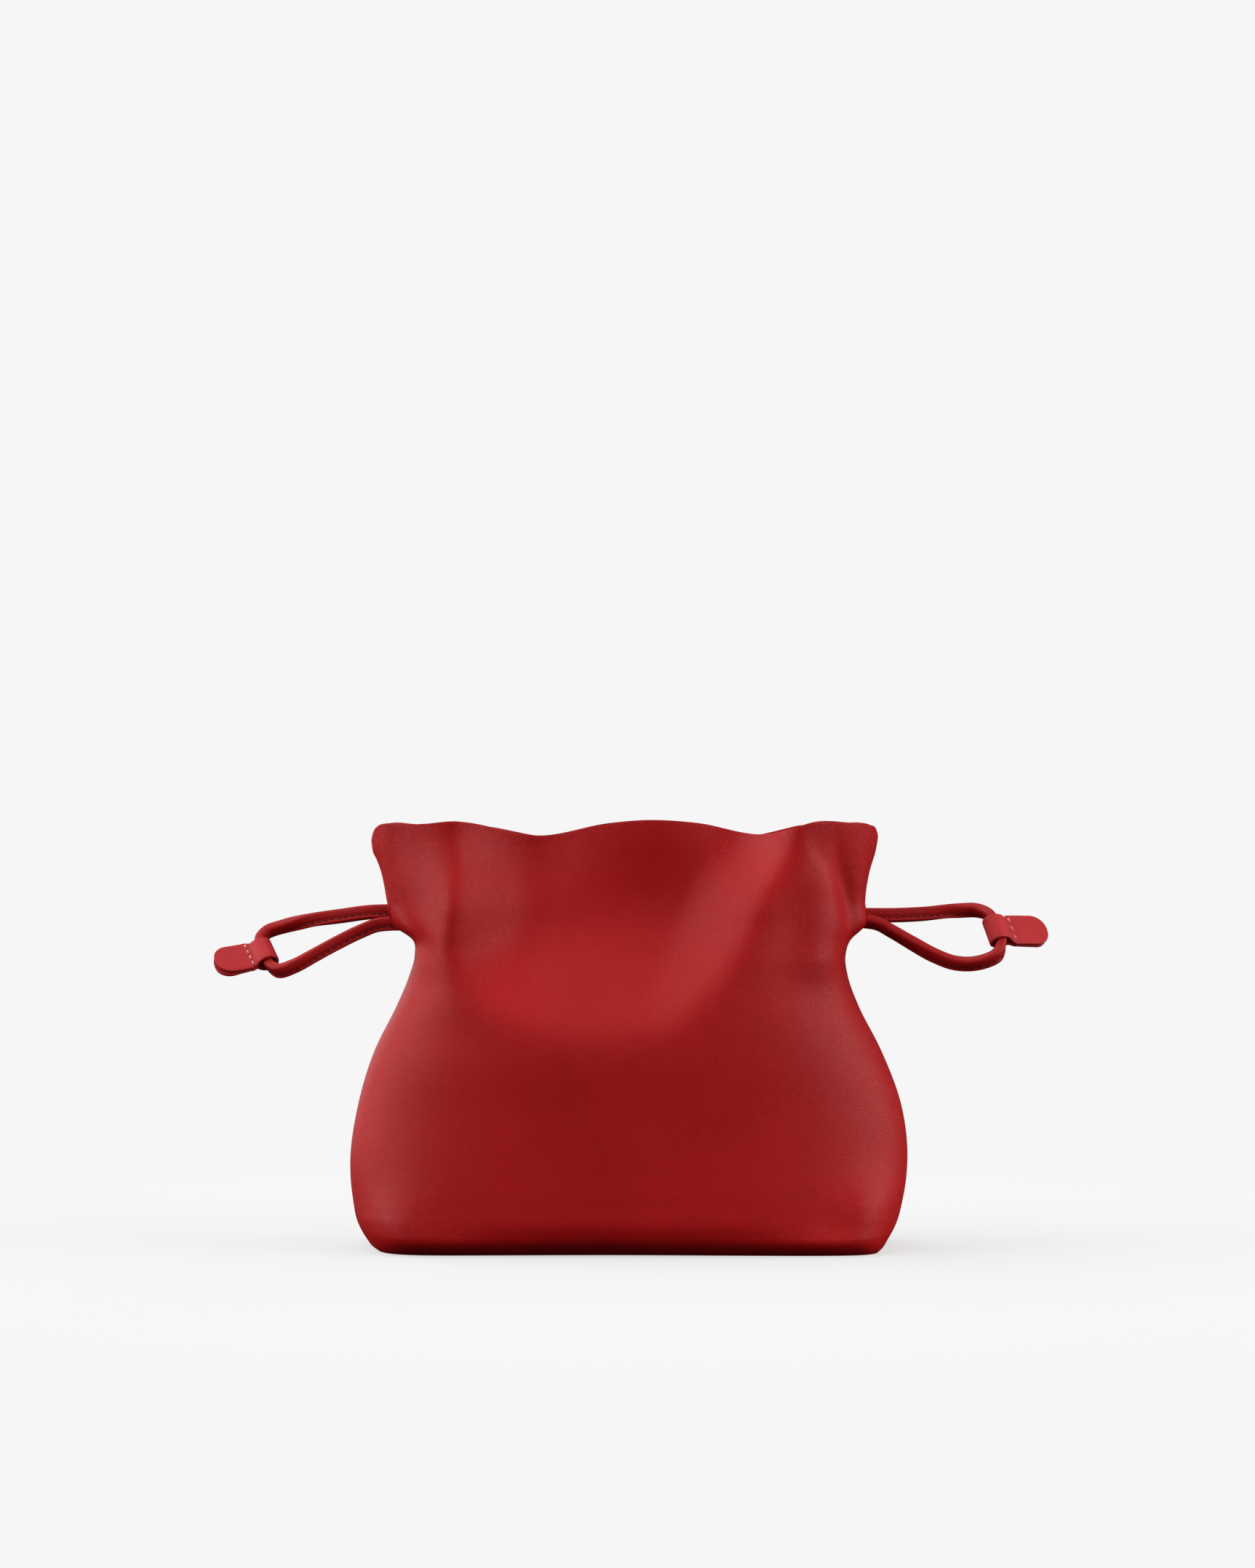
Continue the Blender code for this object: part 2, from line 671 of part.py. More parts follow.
def hidden_run(run):
    front_start, front_height, turn, back_height, back_end = run
    near = math.copysign(CHANNEL_END, front_start[0][0])
    route = list(front_start)
    route += channel_points(FRONT_CHANNEL, near, -near, front_height)
    route += list(turn)
    route += channel_points(BACK_CHANNEL, -near, near, back_height)
    return route + list(back_end)


def tab_line(share, long, splay):
    # Middle of the tab's leather, from one free end round the cord to the other:
    # distance along the leaves, distance off them.
    wrap = TAB_BORE + TAB_LEATHER / 2
    half = [
        (long, splay),
        (long * 0.75, splay * 0.72),
        (0.0115, TAB_STITCHED + 0.00005),
        (TAB_STITCH, TAB_STITCHED),
        (0.0052, 0.00140),
        (0.0033, wrap * 0.74),
        (0.0012, wrap * 0.97),
        (-0.0009, wrap * 0.97),
        (-0.0027, wrap * 0.72),
        (-wrap * 0.93, wrap * 0.36),
        (-wrap, 0.0),
    ]
    ring = half + [(a, -b) for a, b in half[-2::-1]]
    lengths = np.concatenate([[0.0], np.cumsum([math.dist(p, q) for p, q in zip(ring, ring[1:])])])
    at = np.clip(share, 0.0, 1.0) * lengths[-1]
    along = track(list(zip(lengths, [p[0] for p in ring])), at)
    return np.stack([along, track(list(zip(lengths, [p[1] for p in ring])), at)], axis=-1)


def tab_width(along, long):
    # Narrow round the cord, wide at the leaves, with a round free end.
    widened = rise((along - TAB_WIDEN[0]) / (TAB_WIDEN[1] - TAB_WIDEN[0]))
    width = TAB_WAIST + (TAB_WIDTH - TAB_WAIST) * widened
    to_end = np.clip(1.0 - (long - along) / TAB_END_ROUND, 0.0, 1.0)
    return width - 2.0 * TAB_END_ROUND * (1.0 - np.sqrt(1.0 - to_end * to_end))


def pull_tab(name, fold, material):
    middle, axis, leaves = (np.array(item, dtype=float) for item in fold[:3])
    long, splay = fold[3:]
    axis /= np.linalg.norm(axis)
    leaves -= axis * np.dot(leaves, axis)
    leaves /= np.linalg.norm(leaves)
    away = np.cross(axis, leaves)

    def layer(depth):
        def place(u, v):
            share = (u + (1.0 - np.cos(math.pi * u)) / 2.0) / 2.0
            line = tab_line(share, long, splay)
            run = tab_line(share + TAB_STEP, long, splay) - tab_line(share - TAB_STEP, long, splay)
            run /= np.linalg.norm(run, axis=-1, keepdims=True)
            wide = (v - 0.5) * tab_width(line[:, 0], long)
            line = line + np.stack([run[:, 1], -run[:, 0]], axis=-1) * depth
            return leaves * line[:, :1] + away * line[:, 1:] + axis * wide[:, None]

        return place

    mesh = shell_mesh(name, TAB_COLUMNS, TAB_ROWS, layer(TAB_LEATHER / 2), layer(-TAB_LEATHER / 2))
    obj = finish(name, mesh, material)
    obj.location = middle  # its origin is on its hinge axis
    return obj


def main():
    clear_scene()
    bag_leather = leather("bag leather", RED_LEATHER, 0.42)
    base_leather = leather("base leather", RED_BASE, 0.50)
    strip_leather = leather("strip leather", RED_STRIP, 0.60)
    cord_leather = leather("cord leather", RED_CORD, 0.38)
    tab_leather = leather("tab leather", RED_TAB, 0.45)
    bag_panel("front_panel", FRONT_COLUMNS, FRONT_ROWS, True, bag_leather)
    bag_panel("back_panel", BACK_COLUMNS, BACK_ROWS, False, bag_leather)
    base_panel(base_leather)
    channel_strip("front_channel_strip", True, strip_leather)
    channel_strip("back_channel_strip", False, strip_leather)
    cord_tube("left_cord_loop", LEFT_LOOP, LOOP_SPACING, cord_leather)
    cord_tube("right_cord_loop", RIGHT_LOOP, LOOP_SPACING, cord_leather)
    cord_tube("left_cord_in_channel", hidden_run(LEFT_RUN), RUN_SPACING, cord_leather)
    cord_tube("right_cord_in_channel", hidden_run(RIGHT_RUN), RUN_SPACING, cord_leather)
    pull_tab("left_pull_tab", LEFT_FOLD, tab_leather)
    pull_tab("right_pull_tab", RIGHT_FOLD, tab_leather)


main()
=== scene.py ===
import math

import bmesh
import bpy
import numpy as np
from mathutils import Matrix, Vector


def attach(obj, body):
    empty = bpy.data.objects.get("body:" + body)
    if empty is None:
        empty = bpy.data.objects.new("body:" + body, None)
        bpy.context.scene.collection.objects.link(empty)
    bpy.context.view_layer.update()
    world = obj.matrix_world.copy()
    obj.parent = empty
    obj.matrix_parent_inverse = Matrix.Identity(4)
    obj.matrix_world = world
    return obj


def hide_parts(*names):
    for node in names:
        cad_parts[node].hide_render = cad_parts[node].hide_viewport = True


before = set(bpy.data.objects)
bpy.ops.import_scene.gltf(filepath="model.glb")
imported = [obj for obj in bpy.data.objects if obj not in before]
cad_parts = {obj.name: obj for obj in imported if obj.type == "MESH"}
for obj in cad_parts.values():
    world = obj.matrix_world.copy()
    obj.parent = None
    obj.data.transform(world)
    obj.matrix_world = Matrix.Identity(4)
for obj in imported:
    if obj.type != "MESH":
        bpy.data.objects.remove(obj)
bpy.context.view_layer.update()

print("frame loaded:", len(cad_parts), "nodes")


# Camera, looking level from a little above the pouch's rim
cameraSet = {"aside": -0.0003, "height": 0.1990, "away": 2.0, "pictureHeight": 0.6755, "sensor": 36.0,
             "nearest": 0.05, "farthest": 200}


def makeCamera(c):
    data = bpy.data.cameras.new("camera")
    camera = bpy.data.objects.new("camera", data)
    bpy.context.scene.collection.objects.link(camera)
    camera.location = (c["aside"], -c["away"], c["height"])
    camera.rotation_euler = (math.pi / 2, 0, 0)
    data.sensor_width = c["sensor"]
    data.lens = c["sensor"] * c["away"] / c["pictureHeight"]
    data.clip_start = c["nearest"]
    data.clip_end = c["farthest"]
    bpy.context.scene.camera = camera


makeCamera(cameraSet)


# Small helpers for smooth shapes

def ease(share):  # 0 to 1, soft at both ends
    t = np.clip(share, 0.0, 1.0)
    return t * t * (3.0 - 2.0 * t)


def through(keys, at):  # a smooth curve through (place, value) keys, flat past both ends
    places = np.array([key[0] for key in keys], dtype=float)
    values = np.array([key[1] for key in keys], dtype=float)
    slopes = np.gradient(values, places)
    at = np.clip(at, places[0], places[-1])
    i = np.clip(np.searchsorted(places, at, side="right") - 1, 0, len(places) - 2)
    span = places[i + 1] - places[i]
    t = (at - places[i]) / span
    return (
        values[i] * (2 * t**3 - 3 * t**2 + 1)
        + values[i + 1] * (3 * t**2 - 2 * t**3)
        + slopes[i] * span * (t**3 - 2 * t**2 + t)
        + slopes[i + 1] * span * (t**3 - t**2)
    )


def throughPoints(places, points, at):  # the same through points, one curve for each coordinate
    return [through(list(zip(places, values)), at) for values in zip(*points)]


def pick(keys, index):
    return [(key[0], key[index]) for key in keys]


def unit(rows):
    return rows / np.linalg.norm(rows, axis=-1, keepdims=True)


def addGrid(bm, columns, rows, place):  # a grid of faces, each point put in place by its two shares
    made = bmesh.ops.create_grid(bm, x_segments=columns, y_segments=rows, size=1.0)["verts"]
    u = np.array([(vert.co.x + 1.0) / 2.0 for vert in made])
    v = np.array([(vert.co.y + 1.0) / 2.0 for vert in made])
    for vert, point in zip(made, place(u, v)):
        vert.co = point
    return made


def wallMesh(name, columns, rows, outer, inner, edgeRound):  # two grids joined round their edges
    bm = bmesh.new()
    addGrid(bm, columns, rows, outer)
    addGrid(bm, columns, rows, inner)
    border = [edge for edge in bm.edges if edge.is_boundary]
    bmesh.ops.bridge_loops(bm, edges=border)
    bmesh.ops.recalc_face_normals(bm, faces=bm.faces)
    if edgeRound > 0:
        bmesh.ops.bevel(bm, geom=border, offset=edgeRound, offset_type="OFFSET", segments=2,
                        profile=0.5, affect="EDGES", clamp_overlap=True, material=-1)
    return meshFrom(bm, name)


def meshFrom(bm, name, sharp=50):
    mesh = bpy.data.meshes.new(name)
    bm.to_mesh(mesh)
    bm.free()
    mesh.shade_smooth()
    mesh.set_sharp_from_angle(angle=math.radians(sharp))
    return mesh


def addPiece(name, mesh, material, body):
    piece = bpy.data.objects.new(name, mesh)
    bpy.context.scene.collection.objects.link(piece)
    mesh.materials.clear()
    mesh.materials.append(material)
    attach(piece, body)
    return piece


# Materials

def node(tree, kind, place, **settings):
    made = tree.nodes.new(kind)
    made.location = place
    for key, value in settings.items():
        setattr(made, key, value)
    return made


skinSet = {  # what every leather and thread shares
    "sheenRoughness": 0.45, "blotchDetail": 4, "fineDetail": 6, "fineRoughness": 0.62, "darkUpTo": 0.34,
    "lightFrom": 0.66, "grooveWidth": 0.16, "smoother": 0.06, "rougher": 0.08, "grainBump": 0.6,
    "fineBump": 0.5,
}


def leatherMaterial(name, look):
    c = {**skinSet, **look}
    material = bpy.data.materials.new(name)
    material.use_nodes = True
    tree = material.node_tree
    link = tree.links.new
    shader = tree.nodes["Principled BSDF"]
    shader.inputs["Specular IOR Level"].default_value = c["specular"]
    shader.inputs["Sheen Weight"].default_value = c["sheen"]
    shader.inputs["Sheen Roughness"].default_value = c["sheenRoughness"]
    shader.inputs["Sheen Tint"].default_value = (*c["sheenTint"], 1)
    place = node(tree, "ShaderNodeTexCoord", (-1400, 0))
    blotch = node(tree, "ShaderNodeTexNoise", (-1100, 300))  # slow change of colour over the skin
    blotch.inputs["Scale"].default_value = c["blotchScale"]
    blotch.inputs["Detail"].default_value = c["blotchDetail"]
    fine = node(tree, "ShaderNodeTexNoise", (-1100, 60))
    fine.inputs["Scale"].default_value = c["fineScale"]
    fine.inputs["Detail"].default_value = c["fineDetail"]
    fine.inputs["Roughness"].default_value = c["fineRoughness"]
    grain = node(tree, "ShaderNodeTexVoronoi", (-1100, -220), feature="DISTANCE_TO_EDGE")
    grain.inputs["Scale"].default_value = c["grainScale"]
    grain.inputs["Randomness"].default_value = 1.0
    for texture in (blotch, fine):
        link(place.outputs["Object"], texture.inputs["Vector"])
    bend = node(tree, "ShaderNodeVectorMath", (-1250, -220), operation="MULTIPLY_ADD")
    link(fine.outputs["Color"], bend.inputs[0])
    bend.inputs[1].default_value = (c["grainBend"],) * 3
    link(place.outputs["Object"], bend.inputs[2])
    link(bend.outputs[0], grain.inputs["Vector"])
    tone = node(tree, "ShaderNodeValToRGB", (-800, 300))
    tone.color_ramp.elements[0].position = c["darkUpTo"]
    tone.color_ramp.elements[0].color = (*c["dark"], 1)
    tone.color_ramp.elements[1].position = c["lightFrom"]
    tone.color_ramp.elements[1].color = (*c["light"], 1)
    link(blotch.outputs["Fac"], tone.inputs["Fac"])
    groove = node(tree, "ShaderNodeMapRange", (-800, -220))  # the lines between the grain's cells
    groove.inputs["From Min"].default_value = 0.0
    groove.inputs["From Max"].default_value = c["grooveWidth"]
    link(grain.outputs["Distance"], groove.inputs["Value"])
    shade = node(tree, "ShaderNodeMix", (-500, 250), data_type="RGBA", blend_type="MULTIPLY")
    shade.inputs["Factor"].default_value = c["grooveShade"]
    link(tone.outputs["Color"], shade.inputs["A"])
    link(groove.outputs["Result"], shade.inputs["B"])
    link(shade.outputs["Result"], shader.inputs["Base Color"])
    rough = node(tree, "ShaderNodeMapRange", (-500, 0))
    rough.inputs["To Min"].default_value = c["roughness"] - c["smoother"]
    rough.inputs["To Max"].default_value = c["roughness"] + c["rougher"]
    link(fine.outputs["Fac"], rough.inputs["Value"])
    link(rough.outputs["Result"], shader.inputs["Roughness"])
    skinBump = node(tree, "ShaderNodeBump", (-500, -250))
    skinBump.inputs["Distance"].default_value = c["grainDepth"]
    skinBump.inputs["Strength"].default_value = c["grainBump"]
    link(groove.outputs["Result"], skinBump.inputs["Height"])
    softBump = node(tree, "ShaderNodeBump", (-250, -250))
    softBump.inputs["Distance"].default_value = c["fineDepth"]
    softBump.inputs["Strength"].default_value = c["fineBump"]
    link(fine.outputs["Fac"], softBump.inputs["Height"])
    link(skinBump.outputs["Normal"], softBump.inputs["Normal"])
    link(softBump.outputs["Normal"], shader.inputs["Normal"])
    return material


bagLeather = {
    "dark": (0.345, 0.0040, 0.0046), "light": (0.405, 0.0056, 0.0064), "blotchScale": 14,
    "fineScale": 240, "grainScale": 1150, "grainBend": 0.0007, "grooveShade": 0.16, "grainDepth": 0.00010,
    "fineDepth": 0.00026, "roughness": 0.41, "specular": 0.16, "sheen": 0.0, "sheenTint": (1.0, 0.3, 0.3),
}
cordLeather = {
    **bagLeather, "dark": (0.31, 0.0050, 0.0056), "light": (0.37, 0.0070, 0.0080), "grainScale": 1500,
    "grainDepth": 0.00004, "fineScale": 420, "fineDepth": 0.00008, "roughness": 0.44,
}
tabLeather = {
    **bagLeather, "dark": (0.39, 0.016, 0.019), "light": (0.45, 0.023, 0.027), "roughness": 0.5,
    "grainDepth": 0.00003, "fineDepth": 0.00007,
}
edgeLeather = {**bagLeather, "dark": (0.20, 0.007, 0.008), "light": (0.26, 0.010, 0.012), "roughness": 0.55}
fleshLeather = {
    **bagLeather, "dark": (0.22, 0.020, 0.020), "light": (0.29, 0.030, 0.030), "roughness": 0.75,
    "specular": 0.2, "sheen": 0.3, "grainScale": 2200, "fineScale": 700,
}
# Cord stitching thread: its own dark red, painted darker still as painted shade of the groove it lies in
shadedThreadLook = {
    "dark": (0.060, 0.0016, 0.0018), "light": (0.095, 0.0026, 0.0030), "blotchScale": 60,
    "fineScale": 2500, "grainScale": 4200, "grainBend": 0.0002, "grooveShade": 0.3, "grainDepth": 0.00003,
    "fineDepth": 0.00004, "roughness": 0.6, "specular": 0.3, "sheen": 0.1, "sheenTint": (1, 0.6, 0.6),
}
# Tab stitching thread: its own pale pink, made lighter as painted highlight along with its gloss
highlightedPaleThread = {
    **shadedThreadLook, "dark": (0.62, 0.14, 0.15), "light": (0.80, 0.26, 0.27), "specular": 0.6, "roughness": 0.35,
}
# Near-black for the small spheres sunk at each stitch hole: painted shade inside the holes
holeShadeLook = {**shadedThreadLook, "dark": (0.030, 0.0010, 0.0011), "light": (0.045, 0.0014, 0.0015)}

bagSkin = leatherMaterial("bagSkin", bagLeather)
cordSkin = leatherMaterial("cordSkin", cordLeather)
tabSkin = leatherMaterial("tabSkin", tabLeather)
baseSkin = leatherMaterial("baseSkin", edgeLeather)
fleshSide = leatherMaterial("fleshSide", fleshLeather)
shadedRedThread = leatherMaterial("shadedRedThread", shadedThreadLook)
highlightedTabThread = leatherMaterial("highlightedTabThread", highlightedPaleThread)
paintedHoleShade = leatherMaterial("paintedHoleShade", holeShadeLook)
print("materials ready")


# Drawcord loops: the route of each, from its back tail in the slit round the tab to its front tail

cordSet = {
    "pointEvery": 0.0010, "hiddenEvery": 0.0015, "round": 48, "high": 0.0061, "wide": 0.0060, "thick": 0.0044,
    "slitAt": 0.102, "stitchEvery": 0.0029, "stitchLong": 0.0020, "stitchRadius": 0.00032,
    "stitchLevel": 0.00125, "stitchOut": 0.40, "stitchFrom": 0.094, "stitchMargin": 8,
}
leftRoute = (
    (-0.0840, 0.0033, 0.1441), (-0.0930, 0.0033, 0.1441), (-0.1020, 0.0033, 0.1441),
    (-0.1120, 0.0036, 0.1437), (-0.1230, 0.0045, 0.1422), (-0.1385, 0.0065, 0.1399),
    (-0.1490, 0.0080, 0.1375), (-0.1562, 0.0078, 0.1350), (-0.1590, 0.0019, 0.1309),
    (-0.1562, -0.0030, 0.1260), (-0.1535, -0.0079, 0.1211), (-0.1495, -0.0113, 0.1191),
    (-0.1430, -0.0112, 0.1211), (-0.1352, -0.0095, 0.1252), (-0.1252, -0.0070, 0.1306),
    (-0.1148, -0.0047, 0.1357), (-0.1080, -0.0035, 0.1383), (-0.1020, -0.0033, 0.1389),
    (-0.0930, -0.0033, 0.1388), (-0.0840, -0.0033, 0.1388),
)
rightRoute = (
    (0.0840, 0.0033, 0.1425), (0.0930, 0.0033, 0.1425), (0.1020, 0.0033, 0.1425),
    (0.1130, 0.0038, 0.1424), (0.1282, 0.0055, 0.1430), (0.1420, 0.0072, 0.1443),
    (0.1515, 0.0066, 0.1443), (0.1563, 0.0021, 0.1419), (0.1582, -0.0020, 0.1359),
    (0.1601, -0.0061, 0.1299), (0.1580, -0.0094, 0.1257), (0.1525, -0.0106, 0.1231),
    (0.1465, -0.0104, 0.1220), (0.1395, -0.0096, 0.1225), (0.1314, -0.0083, 0.1255),
    (0.1223, -0.0066, 0.1305), (0.1130, -0.0046, 0.1359), (0.1070, -0.0035, 0.1391),
    (0.1020, -0.0033, 0.1400), (0.0930, -0.0033, 0.1400), (0.0840, -0.0033, 0.1400),
)
# Half of the cord's section, a rolled round over a sewn hem: place below the top, share of half its thickness
cordProfile = (
    (0.0005, 0.80), (0.0011, 0.96), (0.0019, 1.0), (0.0028, 0.98), (0.0034, 0.92), (0.0038, 0.82),
    (0.0042, 0.78), (0.0047, 0.80), (0.0056, 0.86), (0.0060, 0.70),
)
crownHalf = (0.0001, 0.0010)  # how far below the top the round starts to fall, and how far out
# How far the hem turns away from straight down: share of the way along the loop, degrees
leftTwist = ((0.0, 0), (0.30, 0), (0.40, -50), (0.48, 0), (0.56, 40), (0.64, 10), (1.0, 0))
rightTwist = (
    (0.0, 0), (0.30, 0), (0.40, 45), (0.50, 0), (0.60, -35), (0.70, -25), (0.82, -50), (0.93, -40), (1.0, 0),
)
noTwist = ((0.0, 0), (1.0, 0))


def smoothRoute(route, every):
    points = np.array(route, dtype=float)
    lengths = np.concatenate([[0.0], np.cumsum(np.linalg.norm(np.diff(points, axis=0), axis=1))])
    fine = np.linspace(0.0, lengths[-1], 4000)
    curve = np.stack(throughPoints(lengths, points, fine), axis=1)
    run = np.concatenate([[0.0], np.cumsum(np.linalg.norm(np.diff(curve, axis=0), axis=1))])
    at = np.linspace(0.0, run[-1], round(run[-1] / every) + 1)
    return np.stack([np.interp(at, run, curve[:, k]) for k in range(3)], axis=1), run[-1]


def cordFrames(points, twist):  # along the cord, down towards its hem, and across it
    along = unit(np.gradient(points, axis=0))
    down = np.array([0.0, 0.0, -1.0])
    down = unit(down - along * (down * along).sum(axis=1, keepdims=True))
    angle = np.radians(through(twist, np.linspace(0.0, 1.0, len(points))))[:, None]
    down = down * np.cos(angle) + np.cross(along, down) * np.sin(angle)
    return along, down, np.cross(along, down)


def cordSection(count, c):  # places down and across, once round the cord
    radius = c["thick"] / 2
    top = -c["high"] / 2
    half = [(top, 0.0), (top + crownHalf[0], crownHalf[1])]
    half += [(top + below, radius * share) for below, share in cordProfile] + [(-top, 0.0)]
    ring = half + [(down, -across) for down, across in half[-2:0:-1]] + [half[0]]
    steps = np.arange(len(ring), dtype=float)
    return throughPoints(steps, ring, np.linspace(0.0, len(ring) - 1, count + 1))


def cordMesh(name, points, twist, c):
    along, down, across = cordFrames(points, twist)
    ringDown, ringAcross = cordSection(c["round"], c)
    last = len(points) - 1

    def place(u, v):
        i = np.rint(v * last).astype(int)
        k = np.rint(u * c["round"]).astype(int)
        return points[i] + down[i] * ringDown[k][:, None] + across[i] * ringAcross[k][:, None]

    bm = bmesh.new()
    addGrid(bm, c["round"], last, place)
    bmesh.ops.remove_doubles(bm, verts=bm.verts, dist=0.00001)
    bmesh.ops.holes_fill(bm, edges=[edge for edge in bm.edges if edge.is_boundary], sides=0)
    bmesh.ops.recalc_face_normals(bm, faces=bm.faces)
    return meshFrom(bm, name)


def addStitch(bm, start, end, radius):  # a short bead of thread with round ends
    middle = (start + end) / 2
    long = (end - start).length
    made = bmesh.ops.create_uvsphere(bm, u_segments=8, v_segments=6, radius=radius)["verts"]
    for vert in made:
        if abs(vert.co.z) > radius / 4:
            vert.co.z += math.copysign(max(long / 2 - radius, 0.0), vert.co.z)
    turn = (end - start).to_track_quat("Z", "Y").to_matrix().to_4x4()
    bmesh.ops.transform(bm, matrix=turn, verts=made)
    bmesh.ops.translate(bm, vec=middle, verts=made)


def cordStitches(name, points, twist, c):
    along, down, across = cordFrames(points, twist)
    bm = bmesh.new()
    step = max(1, round(c["stitchEvery"] / c["pointEvery"]))
    half = c["stitchLong"] / 2
    for i in range(c["stitchMargin"], len(points) - c["stitchMargin"], step):
        if abs(points[i][0]) < c["stitchFrom"]:
            continue
        level = points[i] + down[i] * c["stitchLevel"]
        for side in (-1, 1):
            spot = level + across[i] * side * c["thick"] * c["stitchOut"]
            addStitch(bm, Vector(spot - along[i] * half), Vector(spot + along[i] * half), c["stitchRadius"])
    return meshFrom(bm, name, sharp=80)


def makeLoop(side, route, twist, c):
    points, length = smoothRoute(route, c["pointEvery"])
    body = side + "_pull"
    mesh = cordMesh(side + "DrawcordLoop", points, twist, c)
    loop = addPiece(side + "DrawcordLoop", mesh, cordSkin, body)
    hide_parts(side + "_cord_loop")
    # the stitches in the cord's hem use the thread with painted shade
    stitches = cordStitches(side + "CordStitching", points, twist, c)
    addPiece(side + "CordStitching", stitches, shadedRedThread, body)
    print(side, "loop", round(length, 4), "m")


makeLoop("left", leftRoute, leftTwist, cordSet)
makeLoop("right", rightRoute, rightTwist, cordSet)


# Pull tabs, folded over the loops

tabSet = {
    "width": 0.0150, "waist": 0.0120, "leather": 0.0013, "edge": 0.0005, "stitchAt": 0.0072, "bore": 0.0032,
    "endRound": 0.0066, "widenFrom": 0.0042, "widenOver": 0.0034, "leafHalf": 0.00078, "rows": 170,
    "stitchRadius": 0.00050, "stitchLong": 0.0023, "stitchSpan": 0.9, "stitchLift": 0.00018,
    "holeShadeRadius": 0.00070, "holeShadeSink": 0.86,
}
# Middle of the cord in the fold, the cord's direction there, the leaves' direction, length, splay, stitches
tabFolds = {
    "left": (
        (-0.1562, -0.0030, 0.1260), (0.366, -0.654, -0.660), (-0.925, -0.324, -0.193), 0.0224, 0.0017, 4,
    ),
    "right": (
        (0.1582, -0.0020, 0.1359), (0.257, -0.540, -0.804), (0.880, 0.470, -0.036), 0.0252, 0.0013, 3,
    ),
}


def tabAxes(side):
    middle, axis, leaves = (np.array(item, dtype=float) for item in tabFolds[side][:3])
    axis = unit(axis)
    leaves = unit(leaves - axis * np.dot(leaves, axis))
    return middle, axis, leaves, np.cross(axis, leaves)


def tabLine(share, long, splay, c):  # middle of the leather: from one free end round the cord to the other
    wrap = c["bore"] + c["leather"] / 2
    half = (
        (long, splay), (long * 0.75, splay * 0.72), (0.0115, 0.00083), (c["stitchAt"], c["leafHalf"]),
        (0.0052, 0.00140), (0.0033, wrap * 0.74), (0.0012, wrap * 0.97), (-0.0009, wrap * 0.97),
        (-0.0027, wrap * 0.72), (-wrap * 0.93, wrap * 0.36), (-wrap, 0.0),
    )
    ring = list(half) + [(a, -b) for a, b in half[-2::-1]]
    lengths = np.concatenate([[0.0], np.cumsum([math.dist(p, q) for p, q in zip(ring, ring[1:])])])
    return throughPoints(lengths, ring, share * lengths[-1])


def tabWidth(a, long, c):  # narrow round the cord, wide at the leaves, with a round free end
    width = c["waist"] + (c["width"] - c["waist"]) * ease((a - c["widenFrom"]) / c["widenOver"])
    toEnd = np.clip(1.0 - (long - a) / c["endRound"], 0.0, 1.0)
    return width - 2.0 * c["endRound"] * (1.0 - np.sqrt(1.0 - toEnd * toEnd))


def tabSection(c):  # share of the width, then what the round edge adds across and the depth
    half = c["leather"] / 2
    edge = c["edge"]
    flat = [(share, 0.0, half) for share in np.linspace(-1, 1, 13)]
    turn = [(1.0, edge * math.sin(a), half - edge + edge * math.cos(a)) for a in np.radians((30, 60, 90))]
    under = [(share, across, -depth) for share, across, depth in reversed(flat + turn)]
    rise = [(-share, -across, depth) for share, across, depth in turn[::-1]]
    fall = [(share, across, -depth) for share, across, depth in rise[::-1]]
    return np.array(flat + turn + under[1:] + fall[:-1] + rise + flat[:1])


